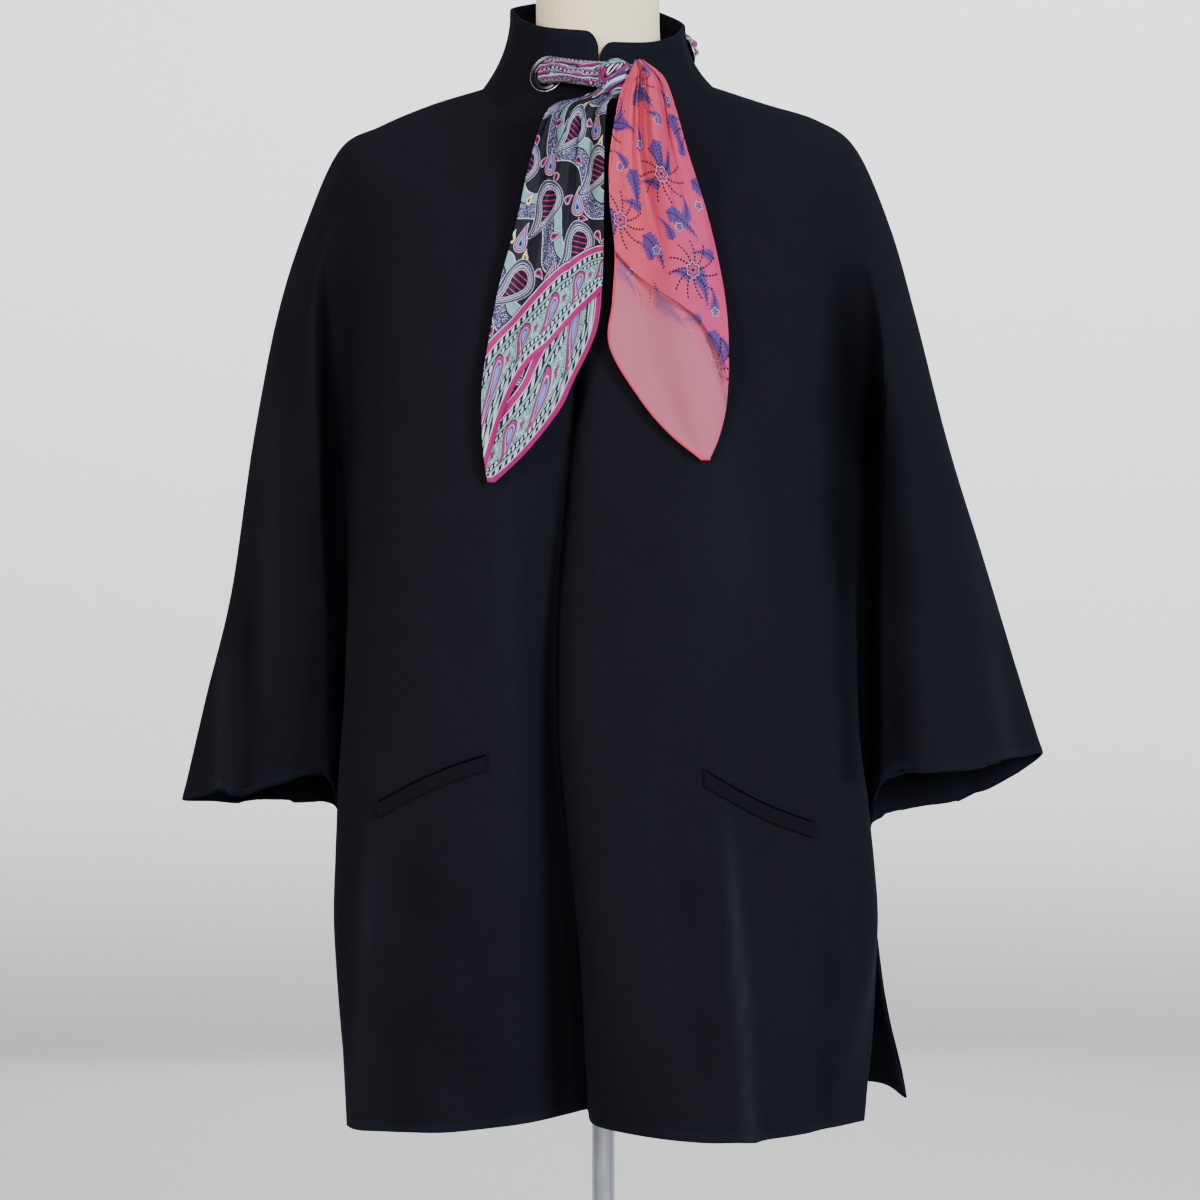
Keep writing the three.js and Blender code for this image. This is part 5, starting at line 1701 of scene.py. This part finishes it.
def drops(tree, teardrop, x, y, motif):
    """Teardrops in cells, each turned by its own angle: the drop's outputs and its chance."""
    local_x, local_y, chance = in_cells(tree, x, y, motif)
    turn, spread = motif["turn"]
    return drop(tree, teardrop, local_x, local_y, motif["shape"], (chance - 0.5) * spread + turn), chance


def round_middle(x, y):
    """Way out from 0, 0 and angle round it."""
    return way_out(x, y), x.math("ARCTAN2", y)


def petalled(out, angle, flower):
    """Distance to a flower's edge, below 0 inside: the way out, waved by a sine round it, less a radius."""
    return out + (angle * flower["petals"]).math("SINE") * flower["wave"] - flower["radius"]


def ink(name, own):
    """A colour by its name: one that the print mixes for itself, or one of the silk's inks."""
    return own[name] if name in own else INKS[name]


def ringed(tree, ground, distance, rings, own=()):
    """Paints inside a shape: each ring is how far in its colour starts, and the colour."""
    for inside, name in rings:
        ground = blended(tree, distance.math("LESS_THAN", -inside), ground, ink(name, own))
    return ground


def striped(tree, ground, way, stripes, own=()):
    """Paints across a way: each stripe is where its colour starts, and the colour."""
    for start, name in stripes:
        ground = blended(tree, way.math("GREATER_THAN", start), ground, ink(name, own))
    return ground


def dashes(way, gap):
    """0 through the first share of each whole step of a way, its gap, and 1 through the rest."""
    return way.math("FRACT").math("GREATER_THAN", gap)


def rungs(tree, way, first, second, share=0.5):
    """Two inks by turns, the first for its share of each whole step of a way."""
    return blended(tree, dashes(way, share), INKS[first], INKS[second])


def speckled(tree, place, ground, dots, scale=0.85):
    """Fine dots of one ink on a ground of another."""
    return blended(tree, cells(tree, place, scale).math("LESS_THAN", 0.34), INKS[ground], INKS[dots])


# The border's middle: curled drops and small flowers by turns, between two rows of pearls
BORDER_CELL = 25.0
CHAIN_DROP = {
    "shape": (5.8, 1.2, 9.5, 4.5), "turn": 1.15, "step": 0.9,
    "rings": [
        (-1.2, "mint"), (-0.4, "plum"), (0.2, "magenta"), (2.0, "white"), (2.4, "violet"), (3.6, "sky"),
    ],
}
CHAIN_FLOWER = {
    "petals": 5.0, "wave": 0.7, "radius": 4.0,
    "rings": [(0.0, "white"), (0.6, "mint"), (2.2, "plum"), (2.7, "magenta")],
}
CHAIN_GROUND = 5.6
PEARL = {"pitch": 3.6, "row": 7.2, "radius": 1.15}
# How far in from the hem each band of the border reaches, from the inmost, and the middle of its chain
BORDER_CENTRE = 17.7
BORDER_BANDS = [
    (39.2, "plum"), (38.4, "white"), (37.7, "magenta"), (33.0, "white"), (32.3, "plum"), (31.7, "ladder"),
    (28.9, "plum"), (28.2, "mint"), (26.6, "plum"), (26.0, "chain"), (9.4, "plum"), (8.8, "mint"),
    (7.4, "ladder"), (5.0, "white"), (4.3, "magenta"),
]
BORDER_SLANT = 0.70711
LADDER_STEP = 5.2


def border_chain(tree, teardrop, along, across, speckle):
    """Along the border's middle: a curled drop in each cell, a flower between two, and the pearls."""
    pearl_x = ((along / PEARL["pitch"]).math("FRACT") - 0.5) * PEARL["pitch"]
    pearl_y = across.math("ABSOLUTE") - PEARL["row"]
    pearl = way_out(pearl_x, pearl_y).math("LESS_THAN", PEARL["radius"])
    on_speckle = across.math("ABSOLUTE").math("LESS_THAN", CHAIN_GROUND)
    colour = blended(tree, pearl, blended(tree, on_speckle, INKS["plum"], speckle), INKS["white"])
    cell = (along / BORDER_CELL).math("FLOOR")
    local = along - (cell + 0.5) * BORDER_CELL
    turn = (cell * 0.5).math("FRACT") * CHAIN_DROP["step"] + CHAIN_DROP["turn"]
    curled = drop(tree, teardrop, across, local, CHAIN_DROP["shape"], turn)
    colour = ringed(tree, colour, curled["Distance"], CHAIN_DROP["rings"])
    beside = along - (along / BORDER_CELL + 0.5).math("FLOOR") * BORDER_CELL
    flower = petalled(*round_middle(beside, across), CHAIN_FLOWER)
    return ringed(tree, colour, flower, CHAIN_FLOWER["rings"])


# Where down its cell each waved ground of the paisley print starts
GROUND_CELL = 62.0
PAISLEY_GROUNDS = [
    (0.40, "white"), (0.415, "mint"), (0.58, "plum"), (0.60, "speckle"), (0.84, "white"), (0.855, "plum"),
]
# Drops of the paisley print. shape is head, tip, length and curl, turn is the angle and its spread, and
# fills is the share of drops with the first filling, then both fillings.
PAISLEY_DROPS = [
    {
        "cell": (25, 31), "shift": (5, 9), "seed": 3.0, "shape": (3.4, 0.6, 7.0, 2.6), "turn": (2.6, 4.0),
        "fills": (0.7, "magenta", "cream"),
        "rings": [(-0.9, "plum"), (-0.2, "white"), (0.4, "fill"), (2.0, "plum")],
    },
    {
        "cell": (52, 62), "shift": (26, 31), "seed": 7.0, "shape": (7.4, 1.0, 16.0, 6.0), "turn": (3.7, 1.0),
        "fills": (0.5, "mint", "sky"),
        "rings": [
            (-1.2, "plum"), (0.0, "white"), (0.6, "magenta"), (2.4, "white"), (2.9, "plum"), (3.6, "fill"),
            (5.8, "plum"),
        ],
    },
]
LARGE_DROP = {
    "cell": (52, 62), "shift": (0, 0), "seed": 0.0, "shape": (13.6, 1.8, 27.0, 12.0), "turn": (0.45, 0.7),
    "rings": [
        (-3.4, "white"), (-2.9, "plum"), (-1.9, "lilac"), (-1.3, "plum"), (-0.6, "white"), (0.0, "plum"),
        (1.0, "lace"), (3.0, "plum"), (3.8, "white"), (4.5, "heart"),
    ],
}


def paisley_group(teardrop):
    """Paisley print: waved grounds, three sizes of ringed drop, and a border of many bands.

    The grounds part where the way down the cloth, bent by a sine of the way across, passes a share of its
    cell.
    """
    inputs = {"Place": "vector", "Hem": "number"}
    tree, given, sink = new_group("paisley_print", inputs, {"Colour": "colour"})
    place = given["Place"]
    x, y, _ = parts_of(tree, place)
    band = (y / GROUND_CELL + (x / 12.0).math("SINE") * 0.17).math("FRACT")
    speckle = {"speckle": speckled(tree, place, "slate", "white")}
    ground = striped(tree, INKS["plum"], band, PAISLEY_GROUNDS, speckle)
    for motif in PAISLEY_DROPS:
        ringed_drop, chance = drops(tree, teardrop, x, y, motif)
        share, first, second = motif["fills"]
        fill = blended(tree, chance.math("GREATER_THAN", share), INKS[first], INKS[second])
        ground = ringed(tree, ground, ringed_drop["Distance"], motif["rings"], {"fill": fill})
    large, _ = drops(tree, teardrop, x, y, LARGE_DROP)
    fillings = {
        "heart": rungs(tree, large["Along"] * 6.0, "magenta", "plum", 0.22),
        "lace": rungs(tree, large["Along"] * 22.0, "white", "lilac"),
    }
    ground = ringed(tree, ground, large["Distance"], LARGE_DROP["rings"], fillings)
    along = (x + y) * BORDER_SLANT
    chain_ground = speckled(tree, place, "mint", "plum", 0.7)
    bands = {
        "chain": border_chain(tree, teardrop, along, given["Hem"] - BORDER_CENTRE, chain_ground),
        "ladder": rungs(tree, along / LADDER_STEP, "white", "plum"),
    }
    reaches = [(-reach, name) for reach, name in BORDER_BANDS]
    join(tree, sink.inputs["Colour"], ringed(tree, ground, given["Hem"], reaches, bands))
    return tree


# Where across the gathered stripes each colour starts
GATHERED_BANDS = [
    (0.16, "plum"), (0.19, "white"), (0.30, "lilac"), (0.36, "plum"), (0.42, "magenta"), (0.56, "white"),
    (0.60, "plum"), (0.64, "mint"), (0.74, "plum"), (0.78, "ladder"), (0.88, "plum"), (0.91, "magenta"),
]
GATHERED_STEP = 4.2


def border_group():
    """The square's border gathered lengthwise: speckled and plain stripes and a ladder, bent by noise."""
    inputs = {"Place": "vector", "Width": "number"}
    tree, given, sink = new_group("border_stripes", inputs, {"Colour": "colour"})
    place = given["Place"]
    x, y, _ = parts_of(tree, place)
    bend = noise(tree, place, 0.06, 1.0) * 22.0 + (x / 8.0).math("SINE") * 2.4
    stripe = ((y + bend) / given["Width"]).math("FRACT")
    speckle = speckled(tree, place, "slate", "white", 0.6)
    ladder = {"ladder": rungs(tree, x / GATHERED_STEP, "plum", "white")}
    join(tree, sink.inputs["Colour"], striped(tree, speckle, stripe, GATHERED_BANDS, ladder))
    return tree


# Leaves of the coral print, largest last, as the paisley's drops, and how their edges and veins go
LEAVES = [
    {"cell": (30, 36), "shift": (13, 8), "seed": 5.0, "shape": (5.0, 0.3, 17, -7), "turn": (2.9, 2.2)},
    {"cell": (40, 50), "shift": (0, 0), "seed": 1.0, "shape": (7.6, 0.3, 27, 10), "turn": (0.5, 2.0)},
]
TOOTH = {"count": 7.0, "slant": 0.16, "depth": 2.8, "swell": 1.2}
VEIN = {"half": 0.6, "beads": 9.0, "gap": 0.35}
# Its flowers, and the beaded rays round the large ones
LARGE_FLOWER = {
    "cell": (66, 74), "shift": (20, 26), "seed": 2.0, "petals": 6.0, "wave": 0.9, "radius": 6.2,
    "rings": [(0.0, "white"), (0.5, "plum"), (1.5, "magenta"), (3.2, "dusty"), (4.4, "plum")],
}
SMALL_FLOWER = {
    "cell": (33, 74), "shift": (50, 60), "seed": 4.0, "petals": 5.0, "wave": 0.7, "radius": 3.6,
    "rings": [(0.0, "white"), (0.5, "plum"), (1.2, "lilac"), (2.2, "magenta")],
}
RAYS = {"turns": 5.5, "swirl": 0.10, "half": 0.85, "reach": 25.0, "bead": 3.1, "gap": 0.38}
FLOWER_TURN = 6.0
# Places across the coat, in metres, over which the ground turns from coral to rose
ROSE_PLACES = (0.02, 0.09)


def beaded_leaf(tree, teardrop, x, y, motif, ground):
    """Leaves: drops whose edge moves in and out by a sawtooth of the way along, with a beaded vein."""
    blade, _ = drops(tree, teardrop, x, y, motif)
    saw = (blade["Along"] * TOOTH["count"] - blade["Aside"] * TOOTH["slant"]).math("FRACT")
    inside = (blade["Distance"] + saw * TOOTH["depth"] - TOOTH["swell"]).math("LESS_THAN", 0.0)
    ground = blended(tree, inside, ground, INKS["violet"])
    vein = inside * blade["Aside"].math("LESS_THAN", VEIN["half"])
    return blended(tree, vein * dashes(blade["Along"] * VEIN["beads"], VEIN["gap"]), ground, INKS["plum"])


def round_flowers(tree, x, y, motif):
    """Way out from the middle of each flower and angle round it, turned by its chance."""
    local_x, local_y, chance = in_cells(tree, x, y, motif)
    out, angle = round_middle(local_x, local_y)
    return out, angle + chance * FLOWER_TURN


def leaf_group(teardrop):
    """Leaf print: coral turning to rose, curled toothed leaves, and flowers, large ones amid beaded rays."""
    inputs = {"Place": "vector", "Across": "number"}
    tree, given, sink = new_group("leaf_print", inputs, {"Colour": "colour"})
    x, y, _ = parts_of(tree, given["Place"])
    ground = blended(tree, given["Across"].between(*ROSE_PLACES), INKS["coral"], INKS["rose"])
    for motif in LEAVES:
        ground = beaded_leaf(tree, teardrop, x, y, motif, ground)
    out, angle = round_flowers(tree, x, y, LARGE_FLOWER)
    aside = (angle * RAYS["turns"] + out * RAYS["swirl"]).math("SINE").math("ABSOLUTE") * out / RAYS["turns"]
    ray = aside.math("LESS_THAN", RAYS["half"]) * out.math("LESS_THAN", RAYS["reach"])
    ground = blended(tree, ray * dashes(out / RAYS["bead"], RAYS["gap"]), ground, INKS["plum"])
    ground = ringed(tree, ground, petalled(out, angle, LARGE_FLOWER), LARGE_FLOWER["rings"])
    small = petalled(*round_flowers(tree, x, y, SMALL_FLOWER), SMALL_FLOWER)
    join(tree, sink.inputs["Colour"], ringed(tree, ground, small, SMALL_FLOWER["rings"]))
    return tree


def make_wool(felt):
    """Navy melton: very dark, painted highlight on folds' crests, painted black shade in troughs, bluer at
    edges.
    """
    material, tree, shader = new_material(
        "navy melton", Roughness=0.95, Specular_IOR_Level=0.02, Sheen_Weight=0.010, Sheen_Roughness=0.6,
        Sheen_Tint=(0.55, 0.62, 0.95, 1),
    )
    nap = placed(tree, felt, {"Place": object_place(tree), "Fibre": 1100.0, "Cloud": 26.0})
    colour = blended(tree, nap["Tone"].between(0.30, 0.70), WOOL_DARK, WOOL_LIGHT)
    # Painted highlight on the folds' crests and painted shade, down to black, in their troughs
    fold = attribute(tree, "fold")
    colour = blended(tree, fold.between(*PAINTED_HIGHLIGHT_HEIGHTS), colour, WOOL_PAINTED_HIGHLIGHT)
    colour = blended(tree, (fold * -1.0).between(*PAINTED_SHADE_DEPTHS), colour, PAINTED_SHADE_BLACK)
    edge = 1.0 - attribute(tree, "to_edge").between(BAND_WIDTH - 1.5, BAND_WIDTH + 1.0)
    colour = blended(tree, edge * EDGE_SHARE, colour, WOOL_EDGE)
    # Painted shadow: black in the pocket slot along each welt's top
    colour = blended(tree, attribute(tree, "slot"), colour, PAINTED_SHADE_BLACK)
    join(tree, shader.inputs["Base Color"], colour)
    join(tree, shader.inputs["Normal"], bumped(tree, nap["Height"], 0.00035, 0.5))
    return material


def make_silk(name, colour_of, twill_weave):
    """A silk twill whose colour comes from a print."""
    material, tree, shader = new_material(
        name, Specular_IOR_Level=0.13, Sheen_Weight=0.01, Sheen_Roughness=0.35,
    )
    place = attribute(tree, "print", "Vector")
    twill = placed(tree, twill_weave, {"Place": place, "Pitch": 0.55})
    colour = blended(tree, twill["Tone"] * 0.02, colour_of(tree, place), INKS["white"])
    join(tree, shader.inputs["Base Color"], colour)
    join(tree, shader.inputs["Roughness"], twill["Tone"] * 0.16 + 0.38)
    join(tree, shader.inputs["Normal"], bumped(tree, twill["Height"], 0.00012, 0.5))
    return material


def make_jersey():
    """Cream cotton jersey: fine upright ribs of knit and a soft uneven tone."""
    material, tree, shader = new_material(
        "cream jersey", Roughness=0.82, Specular_IOR_Level=0.3, Sheen_Weight=0.2, Sheen_Roughness=0.5,
    )
    place = object_place(tree)
    x, y, z = parts_of(tree, place)
    tone = noise(tree, place, 22.0, 3.0)
    rib = ((x + y) * 5200.0).math("SINE") + (z * 3600.0).math("SINE") * 0.6
    join(tree, shader.inputs["Base Color"], blended(tree, tone, JERSEY_DARK, JERSEY_LIGHT))
    join(tree, shader.inputs["Normal"], bumped(tree, rib + noise(tree, place, 900.0), 0.0001, 0.5))
    return material


def metal_wear_group():
    """Handled metal: smudges from wide noise and hairlines from noise drawn out round the piece."""
    outputs = {"Smudge": "number", "Hairline": "number"}
    tree, given, sink = new_group("metal_wear", {"Place": "vector"}, outputs)
    place = given["Place"]
    x, y, z = parts_of(tree, place)
    drawn = vector_of(tree, x * 0.2, y * 0.2, z * 6.0)
    join(tree, sink.inputs["Smudge"], noise(tree, place, 34.0, 4.0, 0.6))
    join(tree, sink.inputs["Hairline"], noise(tree, drawn, 600.0, 2.0))
    return tree


def make_metal(name, wear, dark, light, rough, polished=None):
    """A plated metal with faint smudges and hairlines, and a painted highlight, brighter metal, on the rims
    where the mesh marks them.
    """
    material, tree, shader = new_material(name, Metallic=1.0)
    marks = placed(tree, wear, {"Place": object_place(tree)})
    colour = blended(tree, marks["Smudge"], dark, light)
    # Brighter metal on the marked rims: a painted highlight
    if polished:
        colour = blended(tree, attribute(tree, "rim"), colour, polished)
    join(tree, shader.inputs["Base Color"], colour)
    join(tree, shader.inputs["Roughness"], marks["Smudge"] * 0.16 + marks["Hairline"] * 0.06 + rough)
    join(tree, shader.inputs["Normal"], bumped(tree, marks["Hairline"], 0.00003, 0.4))
    return material


# Studio

# The paper's paint: painted shade on the floor and low down, lighter towards the top
PAPER_FLOOR_SHADE = (0.25, 0.25, 0.248, 1)
PAPER_LOW_SHADE = (0.66, 0.66, 0.655, 1)
PAPER_HIGH_LIT = (0.93, 0.93, 0.95, 1)
BACKDROP = {"floor_radius": 4.6, "turn_radius": 2.6, "top": 3.4, "sides": 96}
CAMERA = {"place": (-0.003, -3.0, 0.953), "sensor": 36, "lens": 104.65}
COAT_MIDDLE = (0, 0, 1.0)
COOL = (0.74, 0.88, 1.0)
# Each light: its place, the point that it faces, its side in metres and its watts
LIGHTS = {
    "left": ((-2.4, -2.6, 1.9), COAT_MIDDLE, 1.2, 96),
    "right": ((2.5, -2.7, 1.8), COAT_MIDDLE, 1.1, 196, COOL),
    "front": ((0.2, -3.8, 1.5), COAT_MIDDLE, 1.6, 62),
    "back": ((-0.4, 4.2, 1.5), COAT_MIDDLE, 2.4, 30),
    "paper": ((0.6, 1.0, 4.2), (0.7, 6.4, 1.8), 3.0, 720),
}
ALL_ROUND = {"Color": (0.9, 0.92, 1.0, 1), "Strength": 0.10}


def build_backdrop():
    """A pale bowl: a round floor, a quarter circle up, and a wall, its paint lighter towards the top and
    darkest on the floor: painted light and shade.
    """
    b = BACKDROP
    angle = np.linspace(0, math.pi / 2, 40)
    radius = np.concatenate([[0.02, 1.5, 3.0], b["floor_radius"] + b["turn_radius"] * np.sin(angle)])
    height = np.concatenate([[0.0, 0.0, 0.0], b["turn_radius"] * (1 - np.cos(angle))])
    radius = np.append(radius, radius[-1])[:, None]
    height = np.append(height, b["top"])[:, None]
    turn = np.linspace(0, 2 * math.pi, b["sides"], endpoint=False)[None, :]
    grid = points(radius * np.cos(turn), radius * np.sin(turn), height + 0 * turn)
    vertices, quads = wrapped_grid(grid)
    middle = np.arange(b["sides"])
    sweep = new_mesh("backdrop", vertices / MM, [quads[:, ::-1], middle[None, :]])
    material, tree, shader = new_material("pale paper", Roughness=0.9, Specular_IOR_Level=0.2)
    height = parts_of(tree, object_place(tree))[2]
    # Painted shade: darker low down and darkest on the floor
    colour = blended(tree, height.between(-0.1, 2.4), PAPER_LOW_SHADE, PAPER_HIGH_LIT)
    colour = blended(tree, height.between(-0.25, 0.55), PAPER_FLOOR_SHADE, colour)
    join(tree, shader.inputs["Base Color"], colour)
    sweep.data.materials.append(material)


def add_light(name, place, aim, size, watts, colour=(1, 1, 1)):
    """A square soft light, turned to face a point."""
    light = bpy.data.lights.new(name, "AREA")
    light.size = size
    light.energy = watts
    light.color = colour
    lamp = bpy.data.objects.new(name, light)
    lamp.location = place
    lamp.visible_camera = False
    direction = np.array(aim, float) - np.array(place, float)
    flat = math.hypot(direction[0], direction[1])
    lamp.rotation_euler = (math.atan2(flat, -direction[2]), 0, math.atan2(-direction[0], direction[1]))
    bpy.context.scene.collection.objects.link(lamp)


def build_studio():
    """A level camera near the coat's middle height, the soft lights, and a dim light all round."""
    camera = bpy.data.cameras.new("camera")
    camera.sensor_width = CAMERA["sensor"]
    camera.lens = CAMERA["lens"]
    viewer = bpy.data.objects.new("camera", camera)
    viewer.location = CAMERA["place"]
    viewer.rotation_euler = (math.radians(90), 0, 0)
    bpy.context.scene.collection.objects.link(viewer)
    bpy.context.scene.camera = viewer
    for name, settings in LIGHTS.items():
        add_light(name, *settings)
    world = bpy.data.worlds.new("studio")
    world.use_nodes = True
    background = world.node_tree.nodes["Background"]
    for label, value in ALL_ROUND.items():
        background.inputs[label].default_value = value
    bpy.context.scene.world = world


GATHERED_WIDTH = 30.0
# How far behind the upper layer the coral's reverse fades, and how wide its edge is
FADE_BEYOND = (8.0, 26.0)
CORAL_EDGE = 2.2


def build_scarf():
    """The silk square: its stretches, knot and tails, with their prints."""
    teardrop = teardrop_group()
    twill = twill_group()
    paisley_print = paisley_group(teardrop)
    border_print = border_group()
    leaf_print = leaf_group(teardrop)

    def gathered(tree, place):
        return placed(tree, border_print, {"Place": place, "Width": GATHERED_WIDTH})["Colour"]

    def paisley(tree, place):
        return placed(tree, paisley_print, {"Place": place, "Hem": attribute(tree, "to_hem")})["Colour"]

    def leaves(tree, place):
        across = parts_of(tree, object_place(tree))[0]
        return placed(tree, leaf_print, {"Place": place, "Across": across})["Colour"]

    def leaves_behind(tree, place):
        fading = attribute(tree, "beyond").between(*FADE_BEYOND)
        colour = blended(tree, fading * 0.5 + 0.5, leaves(tree, place), INKS["dusty"])
        at_hem = attribute(tree, "to_hem").math("LESS_THAN", CORAL_EDGE)
        return blended(tree, at_hem, colour, INKS["coral"])

    bands = make_silk("gathered silk", gathered, twill)
    hanging = make_silk("paisley silk", paisley, twill)
    coral = make_silk("coral silk", leaves, twill)
    reverse = make_silk("coral silk reverse", leaves_behind, twill)
    build_stretches(bands)
    knot = build_knot(bands)
    lower_right, upper_right, lower_left, upper_left = build_tails(hanging, coral, reverse)


# The dark chrome's last colour is the painted highlight of the eyelets' rims
DARK_CHROME = {
    "dark": (0.02, 0.02, 0.022, 1), "light": (0.05, 0.05, 0.055, 1), "rough": 0.16,
    "polished": (0.36, 0.36, 0.38, 1),
}
CHROME = {"dark": (0.52, 0.52, 0.53, 1), "light": (0.72, 0.72, 0.74, 1), "rough": 0.12}


def main():
    build_studio()
    build_backdrop()
    wool = make_wool(felt_group())
    build_coat(wool)
    build_collar(wool)
    build_welts(wool)
    wear = metal_wear_group()
    build_eyelets(make_metal("dark chrome", wear, **DARK_CHROME))
    build_scarf()
    build_form(make_jersey())
    build_stand(make_metal("chrome", wear, **CHROME))


main()
